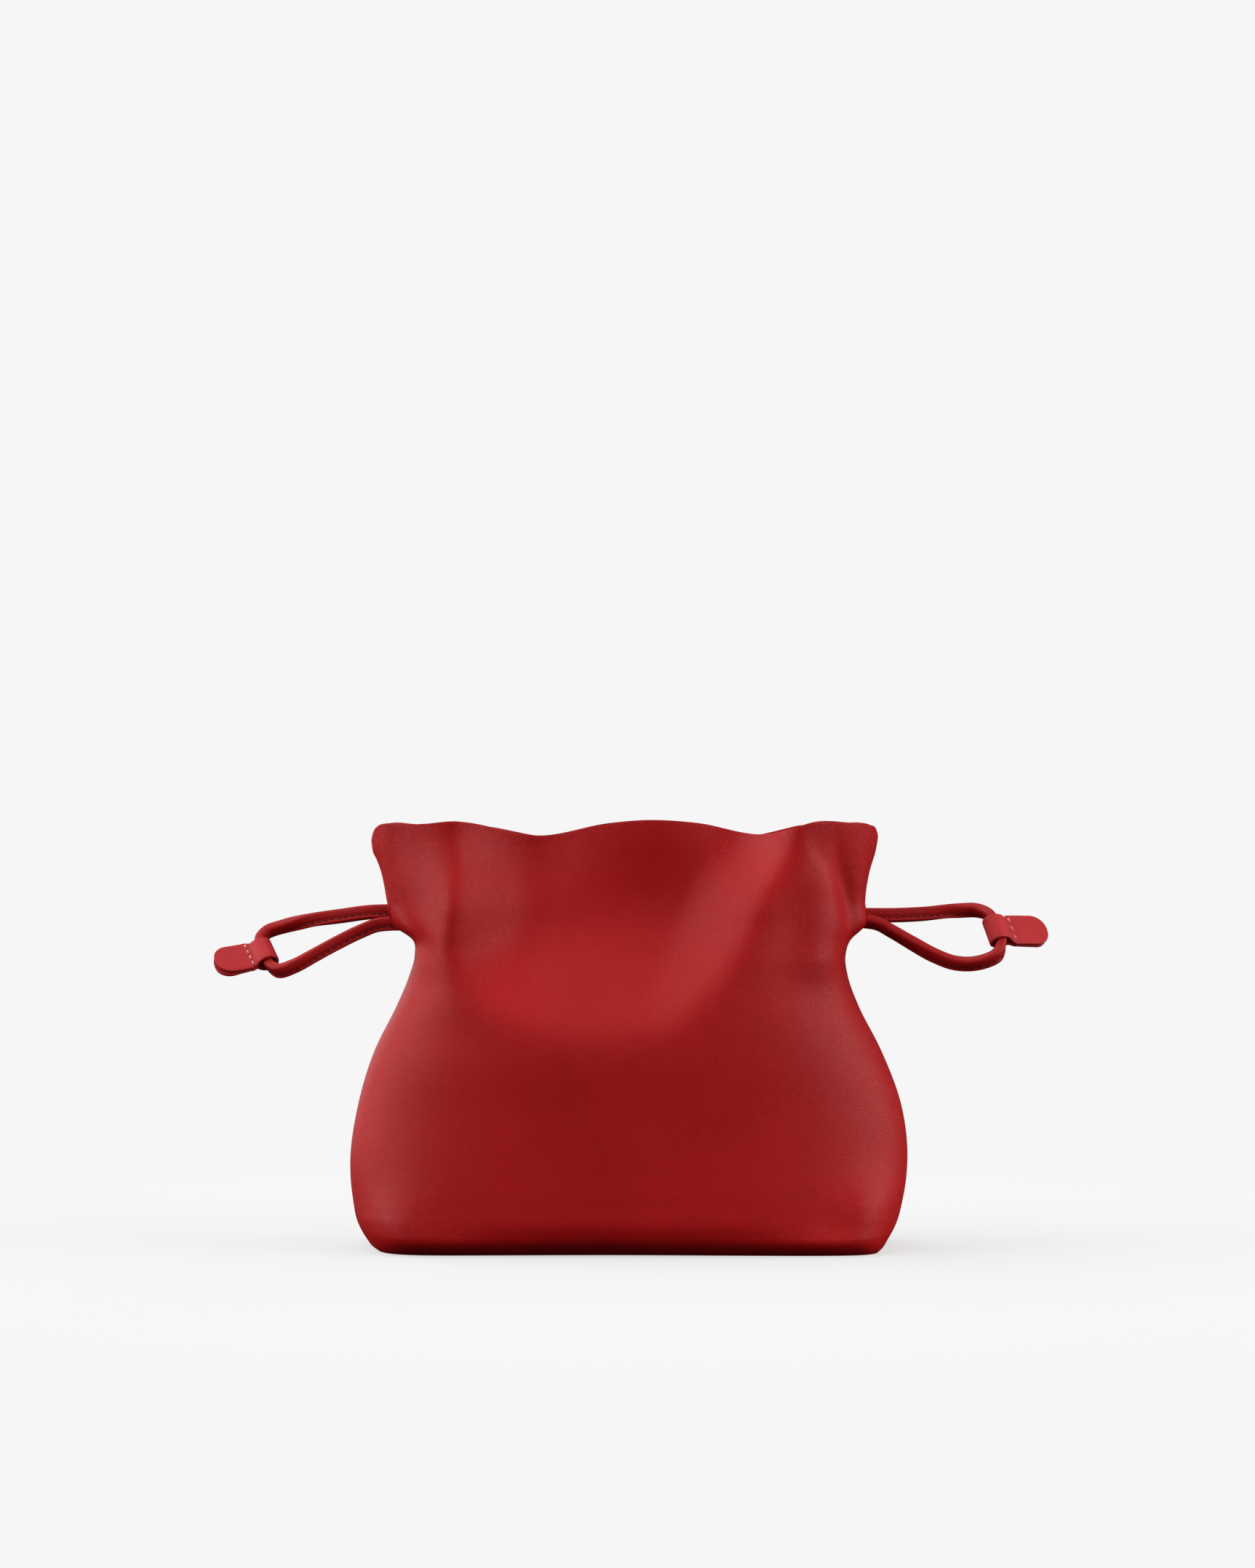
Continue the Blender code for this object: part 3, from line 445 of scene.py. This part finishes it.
def makeTab(side, c):
    middle, axis, leaves, away = tabAxes(side)
    long, splay, stitches = tabFolds[side][3:]
    section = tabSection(c)
    spots = len(section) - 1

    def place(u, v):
        step = 0.002
        share = (v + (1 - np.cos(math.pi * v)) / 2) / 2
        a, b = tabLine(share, long, splay, c)
        a0, b0 = tabLine(np.clip(share - step, 0, 1), long, splay, c)
        a1, b1 = tabLine(np.clip(share + step, 0, 1), long, splay, c)
        normal = unit(np.stack([b1 - b0, a0 - a1], axis=1))
        spot = section[np.rint(u * spots).astype(int)]
        wide = spot[:, 0] * (tabWidth(a, long, c) / 2 - c["edge"]) + spot[:, 1]
        a = a + normal[:, 0] * spot[:, 2]
        b = b + normal[:, 1] * spot[:, 2]
        return middle + leaves * a[:, None] + away * b[:, None] + axis * wide[:, None]

    bm = bmesh.new()
    addGrid(bm, spots, c["rows"], place)
    bmesh.ops.remove_doubles(bm, verts=bm.verts, dist=0.000002)
    bmesh.ops.holes_fill(bm, edges=[edge for edge in bm.edges if edge.is_boundary], sides=0)
    bmesh.ops.recalc_face_normals(bm, faces=bm.faces)
    tab = addPiece(side + "PullTab", meshFrom(bm, side + "PullTab"), tabSkin, side + "_tab")
    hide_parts(side + "_pull_tab")
    threads = bmesh.new()
    holeShades = bmesh.new()
    pitch = c["width"] * c["stitchSpan"] / stitches
    surface = c["leafHalf"] + c["leather"] / 2
    for face in (-1, 1):
        for i in range(stitches + 1):
            spot = middle + leaves * c["stitchAt"] + away * face * surface + axis * (i - stitches / 2) * pitch
            # a near-black sphere sunk at each stitch hole: painted shade
            holeShadeSpot = spot - away * face * c["holeShadeRadius"] * c["holeShadeSink"]
            made = bmesh.ops.create_uvsphere(holeShades, u_segments=10, v_segments=6, radius=c["holeShadeRadius"])
            bmesh.ops.translate(holeShades, vec=Vector(holeShadeSpot), verts=made["verts"])
            if i < stitches:
                centre = spot + axis * pitch / 2 + away * face * c["stitchLift"]
                reach = axis * c["stitchLong"] / 2
                addStitch(threads, Vector(centre - reach), Vector(centre + reach), c["stitchRadius"])
    stitching = meshFrom(threads, side + "TabStitching", sharp=80)
    addPiece(side + "TabStitching", stitching, highlightedTabThread, side + "_tab")
    # the spheres of painted shade at the stitch holes
    holeShadeMesh = meshFrom(holeShades, side + "TabHoleShade", sharp=80)
    addPiece(side + "TabHoleShade", holeShadeMesh, paintedHoleShade, side + "_tab")
    print(side, "tab")


makeTab("left", tabSet)
makeTab("right", tabSet)


# The bag: its outline at rising heights, then its rim, the dip in its front and its pleats

outline = (  # height, half width left and right, half depth front and back, squareness left and right
    (0.0000, 0.1072, 0.1068, 0.0428, 0.0438, 3.7, 6.0),
    (0.0016, 0.1096, 0.1086, 0.0456, 0.0456, 3.7, 5.6),
    (0.0045, 0.1120, 0.1106, 0.0492, 0.0478, 3.6, 5.0),
    (0.0100, 0.1154, 0.1141, 0.0516, 0.0496, 3.4, 4.2),
    (0.0226, 0.1184, 0.1180, 0.0526, 0.0508, 3.1, 3.5),
    (0.0353, 0.1194, 0.1198, 0.0526, 0.0508, 3.0, 3.1),
    (0.0603, 0.1163, 0.1176, 0.0526, 0.0505, 2.8, 2.8),
    (0.0853, 0.1087, 0.1084, 0.0525, 0.0482, 2.8, 2.8),
    (0.1040, 0.0994, 0.0989, 0.0509, 0.0428, 2.8, 2.8),
    (0.1165, 0.0942, 0.0944, 0.0480, 0.0372, 2.7, 2.8),
    (0.1259, 0.0917, 0.0934, 0.0449, 0.0334, 2.6, 2.9),
    (0.1318, 0.0924, 0.0954, 0.0428, 0.0316, 2.5, 2.9),
    (0.1383, 0.1008, 0.1018, 0.0406, 0.0304, 2.4, 2.9),
    (0.1483, 0.1036, 0.1018, 0.0384, 0.0300, 2.3, 2.8),
    (0.1603, 0.1062, 0.1036, 0.0370, 0.0302, 2.2, 2.7),
    (0.1729, 0.1098, 0.1064, 0.0364, 0.0310, 2.1, 2.6),
    (0.1833, 0.1108, 0.1078, 0.0364, 0.0318, 2.1, 2.6),
)
bagSet = {
    "leather": 0.0012, "hem": 0.0026, "hemDepth": 0.020, "seamGap": 0.00004, "edgeRound": 0.00045,
    "rimLevel": 0.1814, "rimTurn": 0.136, "leanFrom": 0.144, "pinchAt": 14,
    "slitHalf": 0.0078, "slitFoot": 0.1263, "slitHead": 0.1565, "slitRamp": 0.012, "slitReach": 0.017,
    "seamKeep": 10, "hemRamp": 0.002, "evenOver": 0.018, "columns": 236, "rows": 176,
}
rims = {
    "front": (
        (-0.1108, 0.1742), (-0.1096, 0.1782), (-0.1076, 0.1808), (-0.1038, 0.1820), (-0.0910, 0.1818),
        (-0.0740, 0.1831), (-0.0370, 0.1770), (-0.0080, 0.1824), (0.0080, 0.1837), (0.0290, 0.1825),
        (0.0570, 0.1776), (0.0835, 0.1831), (0.0950, 0.1824), (0.1034, 0.1815), (0.1064, 0.1795),
        (0.1080, 0.1748),
    ),
    "back": (
        (-0.1108, 0.1742), (-0.1096, 0.1776), (-0.1000, 0.1802), (-0.0650, 0.1808), (-0.0370, 0.1758),
        (0.0100, 0.1808), (0.0520, 0.1762), (0.0800, 0.1812), (0.0980, 0.1806), (0.1050, 0.1790),
        (0.1080, 0.1748),
    ),
}
dipSet = {
    "round": 0.0040, "depth": 0.0230, "fall": 0.027, "leftFall": 0.012, "fallFrom": -0.080, "fallOver": 0.060,
    "turn": 0.124, "back": 0.34, "leftFlank": 0.042, "rightFlank": 0.038, "slopeStep": 0.001,
}
dipLip = (  # the lower edge of the dip: place across the bag, height
    (-0.1100, 0.1450), (-0.0900, 0.1355), (-0.0818, 0.1298), (-0.0717, 0.1190), (-0.0573, 0.1072),
    (-0.0340, 0.0966), (0.0000, 0.0948), (0.0206, 0.0988), (0.0381, 0.1085), (0.0494, 0.1175),
    (0.0620, 0.1270), (0.0800, 0.1360), (0.1100, 0.1430),
)
bulges = (  # place across, height, reach across, reach up, how far out
    (-0.1060, 0.0110, 0.0150, 0.0130, 0.0055), (0.1070, 0.0150, 0.0140, 0.0150, 0.0072),
    (-0.0960, 0.0120, 0.0240, 0.0200, 0.0036), (-0.0660, 0.1415, 0.0160, 0.0165, 0.0038),
    (-0.0100, 0.0000, 0.0560, 0.0060, -0.0034),
    (-0.0860, 0.0050, 0.0260, 0.0060, 0.0022), (0.0880, 0.0050, 0.0260, 0.0060, 0.0022),
)
rimWave = (  # how far the front leans out (or back) at its rim, across the bag
    (-0.1050, 0.0), (-0.0880, -0.0010), (-0.0680, -0.0060), (-0.0500, -0.0076), (-0.0300, -0.0058),
    (-0.0120, -0.0014), (0.0100, 0.0022), (0.0300, -0.0010), (0.0480, -0.0066), (0.0600, -0.0062),
    (0.0760, 0.0), (0.0900, 0.0008), (0.1050, 0.0),
)
leftCrest = ((0.0960, -0.0740), (0.1065, -0.0775), (0.1141, -0.0797), (0.1209, -0.0813), (0.1276, -0.0817),
             (0.1384, -0.0796), (0.1538, -0.0765), (0.1690, -0.0759), (0.1860, -0.0755))
rightCrest = ((0.0960, 0.0440), (0.1085, 0.0465), (0.1229, 0.0515), (0.1433, 0.0582), (0.1605, 0.0636),
              (0.1748, 0.0700), (0.1860, 0.0745))
rightFurrow = ((0.0960, 0.0620), (0.1220, 0.0690), (0.1450, 0.0725), (0.1690, 0.0785), (0.1860, 0.0810))
rightShoulder = ((0.0960, 0.0920), (0.1205, 0.0900), (0.1269, 0.0900), (0.1402, 0.0894), (0.1531, 0.0858),
                 (0.1679, 0.0760), (0.1860, 0.0680))
leftPinch = ((0.1200, -0.0880), (0.1311, -0.0893), (0.1424, -0.0955), (0.1500, -0.0985), (0.1860, -0.1000))
rightPinch = ((0.0960, 0.0960), (0.1260, 0.0945), (0.1380, 0.0948), (0.1500, 0.0928), (0.1650, 0.0900),
              (0.1860, 0.0900))
pleats = {  # line, reach left, reach right, height, where it starts and is grown, share left at the rim
    "front": (
        (leftCrest, 0.0150, 0.0120, 0.0080, 0.0900, 0.1340, 0.6),
        (leftPinch, 0.0030, 0.0045, -0.0045, 0.1220, 0.1320, 0.1),
        (rightCrest, 0.0160, 0.0280, 0.0070, 0.0980, 0.1600, 1.0),
        (rightFurrow, 0.0090, 0.0090, -0.0014, 0.1040, 0.1380, 0.5),
        (rightShoulder, 0.0160, 0.0046, 0.0064, 0.1040, 0.1260, 0.1),
        (rightPinch, 0.0036, 0.0090, -0.0120, 0.1220, 0.1360, 0.0),
    ),
    "back": (
        (((0.100, -0.088), (0.190, -0.078)), 0.0100, 0.0080, 0.0060, 0.0960, 0.1380, 0.8),
        (((0.100, -0.066), (0.190, -0.058)), 0.0090, 0.0110, -0.0060, 0.0880, 0.1360, 0.7),
        (((0.100, -0.034), (0.190, -0.037)), 0.0130, 0.0120, 0.0052, 0.0840, 0.1360, 0.7),
        (((0.100, -0.006), (0.190, -0.008)), 0.0120, 0.0120, -0.0066, 0.0860, 0.1400, 0.7),
        (((0.100, 0.020), (0.190, 0.016)), 0.0110, 0.0120, 0.0048, 0.0860, 0.1400, 0.8),
        (((0.100, 0.050), (0.190, 0.046)), 0.0130, 0.0110, -0.0070, 0.0900, 0.1360, 0.7),
        (((0.100, 0.082), (0.190, 0.074)), 0.0100, 0.0090, 0.0062, 0.0980, 0.1380, 0.8),
    ),
}
rowHeights = (  # share of the panel's rows, height
    (0.0, 0.0), (0.10, 0.006), (0.20, 0.020), (0.40, 0.068), (0.55, 0.100), (0.80, 0.147), (1.0, 0.1814),
)
turns = {  # share of the panel's columns, share of the way round
    "front": ((0.0, 0.0), (0.14, 0.09), (0.40, 0.30), (0.62, 0.68), (0.88, 0.91), (1.0, 1.0)),
    "back": ((0.0, 0.0), (0.14, 0.10), (0.86, 0.90), (1.0, 1.0)),
}


def pleatHeight(folds, x, z):
    total = np.zeros_like(x)
    for line, left, right, height, foot, grown, atRim in folds:
        across = x - through(line, z)
        shape = np.exp(-((across / np.where(across < 0, left, right)) ** 2))
        fade = ease((z - foot) / (grown - foot))
        fade = fade * (1.0 - (1.0 - atRim) * ease((z - grown) / (bagSet["rimLevel"] - grown)))
        total += height * shape * fade
    return total


def dipAt(x, z, c):
    lip = through(dipLip, x)
    step = c["slopeStep"]
    steep = (through(dipLip, x + step) - through(dipLip, x - step)) / (2 * step)
    above = c["round"] * np.logaddexp(0.0, (z - lip) / np.sqrt(1 + steep * steep) / c["round"])
    fall = c["leftFall"] + (c["fall"] - c["leftFall"]) * ease((x - c["fallFrom"]) / c["fallOver"])
    depth = c["depth"] * (1.0 - np.exp(-above / fall))
    depth = depth * (1.0 - c["back"] * ease((z - c["turn"]) / (bagSet["rimLevel"] - c["turn"])))
    left = ease((x - through(leftCrest, z)) / c["leftFlank"])
    right = ease((through(rightCrest, z) - x) / c["rightFlank"])
    return depth * left * right


def swell(x, z):  # soft bulges at the base's corners and at the left crest, a hollow at the foot
    total = np.zeros_like(x)
    for placeX, placeZ, reachX, reachZ, height in bulges:
        total += height * np.exp(-(((x - placeX) / reachX) ** 2) - ((z - placeZ) / reachZ) ** 2)
    return total


def sides(height, column):  # the side's half width, and the same evened over the heights around it
    keys = pick(outline, column)
    over = bagSet["evenOver"]
    level = [through(keys, height + step) for step in np.linspace(-over, over, 7)]
    return level[3], sum(level) / len(level)


def outerSkin(u, v, face):
    c = bagSet
    front = face == "front"
    height = through(rowHeights, v)
    left, wideLeft = sides(height, 1)
    right, wideRight = sides(height, 2)
    depth = through(pick(outline, 3 if front else 4), height)
    turn = math.pi * (1.0 - through(turns[face], u))
    across = np.cos(turn)
    along = np.sin(turn)
    square = np.where(across < 0, through(pick(outline, 5), height), through(pick(outline, 6), height))
    radius = (np.abs(across) ** square + np.abs(along) ** square) ** (-1.0 / square)
    halfWidth = np.where(across < 0, left, right)
    wide = np.where(across < 0, wideLeft, wideRight)
    share = across * radius
    x = share * (wide + (halfWidth - wide) * np.abs(share) ** c["pinchAt"])
    out = depth * along * radius
    folds = pleatHeight(pleats[face], x, height)
    if front:
        lean = ease((height - c["leanFrom"]) / (c["rimLevel"] - c["leanFrom"]))
        folds = folds - dipAt(x, height, dipSet) + through(rimWave, x) * lean + swell(x, height)
    out = out + folds * (1.0 - np.abs(share) ** c["seamKeep"])
    slit = ease((height - c["slitFoot"]) / c["slitRamp"]) * ease((c["slitHead"] - height) / c["slitRamp"])
    atSlit = slit * ease((np.abs(x) - halfWidth + c["slitReach"]) / c["slitReach"])
    out = np.maximum(out, c["seamGap"] / 2) * (1.0 - atSlit) + np.maximum(out, c["slitHalf"]) * atSlit
    lift = (through(rims[face], x) - c["rimTurn"]) / (c["rimLevel"] - c["rimTurn"])
    z = np.where(height > c["rimTurn"], c["rimTurn"] + (height - c["rimTurn"]) * lift, height)
    return np.stack([x, -out if front else out, z], axis=-1)


def skinAt(u, v, inside, face):
    step = 0.002
    outer = outerSkin(u, v, face)
    across = outerSkin(np.minimum(u + step, 1.0), v, face) - outerSkin(np.maximum(u - step, 0.0), v, face)
    upward = outerSkin(u, np.minimum(v + step, 1.0), face) - outerSkin(u, np.maximum(v - step, 0.0), face)
    inward = unit(np.cross(upward, across))
    side = -1.0 if face == "front" else 1.0
    points = outer + inward * -side * np.asarray(inside)[..., None]
    points[..., 1] = side * np.maximum(side * points[..., 1], bagSet["seamGap"] / 2)
    points[..., 2] = np.maximum(points[..., 2], 0.0)
    return points


def wallDepth(v):
    c = bagSet
    height = through(rowHeights, v)
    doubled = ease((height - c["rimLevel"] + c["hemDepth"]) / c["hemRamp"])
    return c["leather"] + (c["hem"] - c["leather"]) * doubled


def makePanel(face, c):
    mesh = wallMesh(face + "Panel", c["columns"], c["rows"],
                    lambda u, v: skinAt(u, v, np.zeros_like(u), face),
                    lambda u, v: skinAt(u, v, wallDepth(v), face), c["edgeRound"])
    panel = addPiece(face + "Panel", mesh, bagSkin, "bag")
    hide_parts(face + "_panel")
    print(face, "panel:", len(mesh.polygons), "faces")


makePanel("front", bagSet)
makePanel("back", bagSet)


# Inside the bag: the base, the strips sewn over the cords, and the cords' runs behind them

insideSet = {
    "basePoints": 192, "baseLeather": 0.0016, "baseInset": 0.0013, "baseRound": 0.0004,
    "stripLeather": 0.0008, "stripHalf": 0.059, "stripFoot": 0.1288, "stripHead": 0.1553,
    "stripGap": 0.0011, "stripSlope": 0.0065, "stripDip": 0.0070, "overCords": 0.0037, "level": 0.1413,
    "columns": 120, "rows": 28, "stripRound": 0.00025, "channelEnd": 0.058, "channelStep": 0.0145,
}
channels = {  # the cords' middle line in front and behind, across the bag
    "front": ((-0.064, -0.0029), (-0.050, -0.0040), (-0.030, -0.0062), (-0.010, -0.0076), (0.010, -0.0080),
              (0.030, -0.0080), (0.046, -0.0098), (0.064, -0.0112)),
    "back": ((-0.064, 0.0128), (-0.040, 0.0165), (-0.010, 0.0188), (0.010, 0.0188), (0.030, 0.0166),
             (0.050, 0.0142), (0.064, 0.0128)),
}
# Out of the front tail, height in front, the turn inside the far seam, height behind, the back tail
hiddenRuns = {
    "left": (
        ((-0.0837, -0.0033, 0.1388), (-0.0815, -0.0033, 0.1388), (-0.0735, -0.0034, 0.1381)),
        0.1378,
        ((0.0680, -0.0098, 0.1378), (0.0712, -0.0050, 0.1383), (0.0720, 0.0000, 0.1414),
         (0.0712, 0.0050, 0.1445), (0.0680, 0.0102, 0.1450)),
        0.1450,
        ((-0.0735, 0.0085, 0.1446), (-0.0790, 0.0044, 0.1442), (-0.0815, 0.0033, 0.1441),
         (-0.0837, 0.0033, 0.1441)),
    ),
    "right": (
        ((0.0837, -0.0033, 0.1400), (0.0815, -0.0033, 0.1400), (0.0785, -0.0042, 0.1412),
         (0.0730, -0.0070, 0.1442)),
        0.1453,
        ((-0.0685, -0.0022, 0.1453), (-0.0714, 0.0014, 0.1433), (-0.0718, 0.0048, 0.1399),
         (-0.0705, 0.0086, 0.1382), (-0.0670, 0.0118, 0.1380)),
        0.1380,
        ((0.0730, 0.0086, 0.1389), (0.0785, 0.0045, 0.1416), (0.0815, 0.0033, 0.1425),
         (0.0837, 0.0033, 0.1425)),
    ),
}


shares = np.linspace(0.0, 1.0, 2001)  # finely spaced, to look up a panel's row or column


def makeBase(c):  # follows the foot of both panels, just inside them
    bm = bmesh.new()
    made = bmesh.ops.create_circle(bm, cap_ends=True, segments=c["basePoints"], radius=1.0)["verts"]
    for vert in made:
        face = "front" if vert.co.y < 0 else "back"
        turned = 1.0 - math.acos(max(-1.0, min(1.0, vert.co.x))) / math.pi
        u = np.interp(turned, through(turns[face], shares), shares)
        edge = outerSkin(np.array([u]), np.array([0.0]), face)[0]
        vert.co.x = edge[0] * (1.0 - c["baseInset"] / outline[0][1 if edge[0] < 0 else 2])
        vert.co.y = edge[1] * (1.0 - c["baseInset"] / outline[0][3 if face == "front" else 4])
    raised = bmesh.ops.extrude_face_region(bm, geom=list(bm.faces))["geom"]
    top = [item for item in raised if isinstance(item, bmesh.types.BMVert)]
    bmesh.ops.translate(bm, verts=top, vec=(0, 0, c["baseLeather"]))
    bmesh.ops.recalc_face_normals(bm, faces=bm.faces)
    rim = [edge for edge in bm.edges if edge.calc_face_angle(0.0) > 1.0]
    bmesh.ops.bevel(bm, geom=rim, offset=c["baseRound"], offset_type="OFFSET", segments=2, profile=0.5,
                    affect="EDGES", clamp_overlap=True, material=-1)
    base = addPiece("basePanel", meshFrom(bm, "basePanel"), baseSkin, "bag")
    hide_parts("base_panel")


def makeStrip(face, c):
    heights = (c["stripFoot"], c["level"], c["stripHead"])
    foot, level, head = np.interp(heights, through(rowHeights, shares), shares)
    places = outerSkin(shares, np.full_like(shares, level), face)[:, 0]
    left, right = np.interp((-c["stripHalf"], c["stripHalf"]), places, shares)
    inward = 1.0 if face == "front" else -1.0
    half = (c["stripHead"] - c["stripFoot"]) / 2

    def layer(depth):
        def place(u, v):
            rows = foot + (head - foot) * v
            inside = np.full_like(u, bagSet["leather"] + c["stripGap"])
            points = skinAt(left + (right - left) * u, rows, inside, face)
            line = through(channels[face], points[:, 0])
            sewn = inward * np.maximum(inward * points[:, 1], inward * line - c["stripDip"])
            off = ease((half - np.abs(through(rowHeights, rows) - c["stripFoot"] - half)) / c["stripSlope"])
            points[:, 1] = sewn * (1 - off) + (line + inward * c["overCords"]) * off + inward * depth
            return points

        return place

    mesh = wallMesh(face + "ChannelStrip", c["columns"], c["rows"], layer(0.0), layer(c["stripLeather"]),
                    c["stripRound"])
    strip = addPiece(face + "ChannelStrip", mesh, fleshSide, "bag")
    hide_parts(face + "_channel_strip")


def makeHiddenRun(side, c):
    frontStart, frontHeight, turn, backHeight, backEnd = hiddenRuns[side]
    near = math.copysign(c["channelEnd"], frontStart[0][0])
    across = np.linspace(near, -near, 2 + round(2 * c["channelEnd"] / c["channelStep"]))
    ahead = through(channels["front"], across)
    behind = through(channels["back"], -across)
    route = list(frontStart) + [(x, y, frontHeight) for x, y in zip(across, ahead)]
    route += list(turn) + [(x, y, backHeight) for x, y in zip(-across, behind)]
    points, length = smoothRoute(route + list(backEnd), cordSet["hiddenEvery"])
    mesh = cordMesh(side + "DrawcordInside", points, noTwist, cordSet)
    run = addPiece(side + "DrawcordInside", mesh, cordSkin, "bag")
    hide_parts(side + "_cord_in_channel")
    print(side, "cord inside", round(length, 4), "m")


makeBase(insideSet)
for face in ("front", "back"):
    makeStrip(face, insideSet)
for side in ("left", "right"):
    makeHiddenRun(side, insideSet)


# Floor, background and lights

paper = {
    "tone": 0.921, "glow": 0.60, "lit": 0.215, "shadowReach": 0.55, "fadeFrom": 0.45, "size": 40.0,
    "below": 0.0001, "bounce": 0.02, "mirrored": 0.02, "ambient": 0.20,
}


def floorMaterial(c):  # a pale floor that keeps a soft shadow near the pouch
    material = bpy.data.materials.new("paleFloor")
    material.use_nodes = True
    tree = material.node_tree
    link = tree.links.new
    tree.nodes.clear()
    out = node(tree, "ShaderNodeOutputMaterial", (700, 0))
    glow = node(tree, "ShaderNodeEmission", (0, 200))
    glow.inputs["Color"].default_value = (1, 1, 1, 1)
    glow.inputs["Strength"].default_value = c["glow"]
    lit = node(tree, "ShaderNodeBsdfDiffuse", (0, 50))
    lit.inputs["Color"].default_value = (c["lit"],) * 3 + (1,)
    near = node(tree, "ShaderNodeAddShader", (200, 130))
    link(glow.outputs[0], near.inputs[0])
    link(lit.outputs[0], near.inputs[1])
    far = node(tree, "ShaderNodeEmission", (200, -50))
    far.inputs["Color"].default_value = (1, 1, 1, 1)
    far.inputs["Strength"].default_value = c["tone"]
    place = node(tree, "ShaderNodeTexCoord", (-600, -200))
    length = node(tree, "ShaderNodeVectorMath", (-400, -200), operation="LENGTH")
    link(place.outputs["Object"], length.inputs[0])
    fade = node(tree, "ShaderNodeMapRange", (-200, -200), interpolation_type="SMOOTHSTEP")
    fade.inputs["From Min"].default_value = c["shadowReach"] * c["fadeFrom"]
    fade.inputs["From Max"].default_value = c["shadowReach"]
    link(length.outputs["Value"], fade.inputs["Value"])
    seen = node(tree, "ShaderNodeMixShader", (400, 100))
    link(fade.outputs["Result"], seen.inputs["Fac"])
    link(near.outputs[0], seen.inputs[1])
    link(far.outputs[0], seen.inputs[2])
    path = node(tree, "ShaderNodeLightPath", (0, 500))
    plain = node(tree, "ShaderNodeBsdfDiffuse", (250, -250))
    plain.inputs["Color"].default_value = (c["bounce"],) * 3 + (1,)
    mix = node(tree, "ShaderNodeMixShader", (550, 0))
    link(path.outputs["Is Camera Ray"], mix.inputs["Fac"])
    link(plain.outputs[0], mix.inputs[1])
    link(seen.outputs[0], mix.inputs[2])
    link(mix.outputs[0], out.inputs["Surface"])
    return material


def makeFloor(c):
    bm = bmesh.new()
    bmesh.ops.create_circle(bm, cap_ends=True, segments=64, radius=c["size"])
    mesh = bpy.data.meshes.new("floor")
    bm.to_mesh(mesh)
    bm.free()
    floor = bpy.data.objects.new("floor", mesh)
    bpy.context.scene.collection.objects.link(floor)
    floor.location.z = -c["below"]
    mesh.materials.append(floorMaterial(c))


def makeWorld(c):
    world = bpy.data.worlds.new("studio")
    world.use_nodes = True
    tree = world.node_tree
    back = tree.nodes["Background"]
    path = node(tree, "ShaderNodeLightPath", (-600, 200))
    dim = node(tree, "ShaderNodeMix", (-400, -100), data_type="RGBA")
    dim.inputs["A"].default_value = (c["ambient"],) * 3 + (1,)
    dim.inputs["B"].default_value = (c["mirrored"],) * 3 + (1,)
    tree.links.new(path.outputs["Is Glossy Ray"], dim.inputs["Factor"])
    mix = node(tree, "ShaderNodeMix", (-200, 0), data_type="RGBA")
    tree.links.new(dim.outputs["Result"], mix.inputs["A"])
    mix.inputs["B"].default_value = (c["tone"],) * 3 + (1,)
    tree.links.new(path.outputs["Is Camera Ray"], mix.inputs["Factor"])
    tree.links.new(mix.outputs["Result"], back.inputs["Color"])
    back.inputs["Strength"].default_value = 1.0
    bpy.context.scene.world = world


def makeSun(name, towards, strength, spread, glossy=True):  # light that arrives from the side given
    data = bpy.data.lights.new(name, "SUN")
    data.energy = strength
    data.angle = math.radians(spread)
    sun = bpy.data.objects.new(name, data)
    sun.rotation_euler = Vector(towards).to_track_quat("Z", "Y").to_euler()
    sun.visible_glossy = glossy
    bpy.context.scene.collection.objects.link(sun)


makeFloor(paper)
makeWorld(paper)
makeSun("topLight", (-0.42, 0.08, 1.0), 2.1, 74)
makeSun("leftLight", (-1.0, -0.22, 0.22), 3.1, 60)
makeSun("rightLight", (1.0, -0.24, 0.24), 3.6, 60)
makeSun("frontFill", (0.0, -1.0, 0.28), 0.62, 80, glossy=False)
makeSun("backLeft", (-1.0, 1.0, 0.25), 1.1, 70)
makeSun("backRight", (1.0, 1.0, 0.25), 1.1, 70, glossy=False)
print("stage and lights ready")

bpy.context.scene.view_settings.view_transform = "Standard"
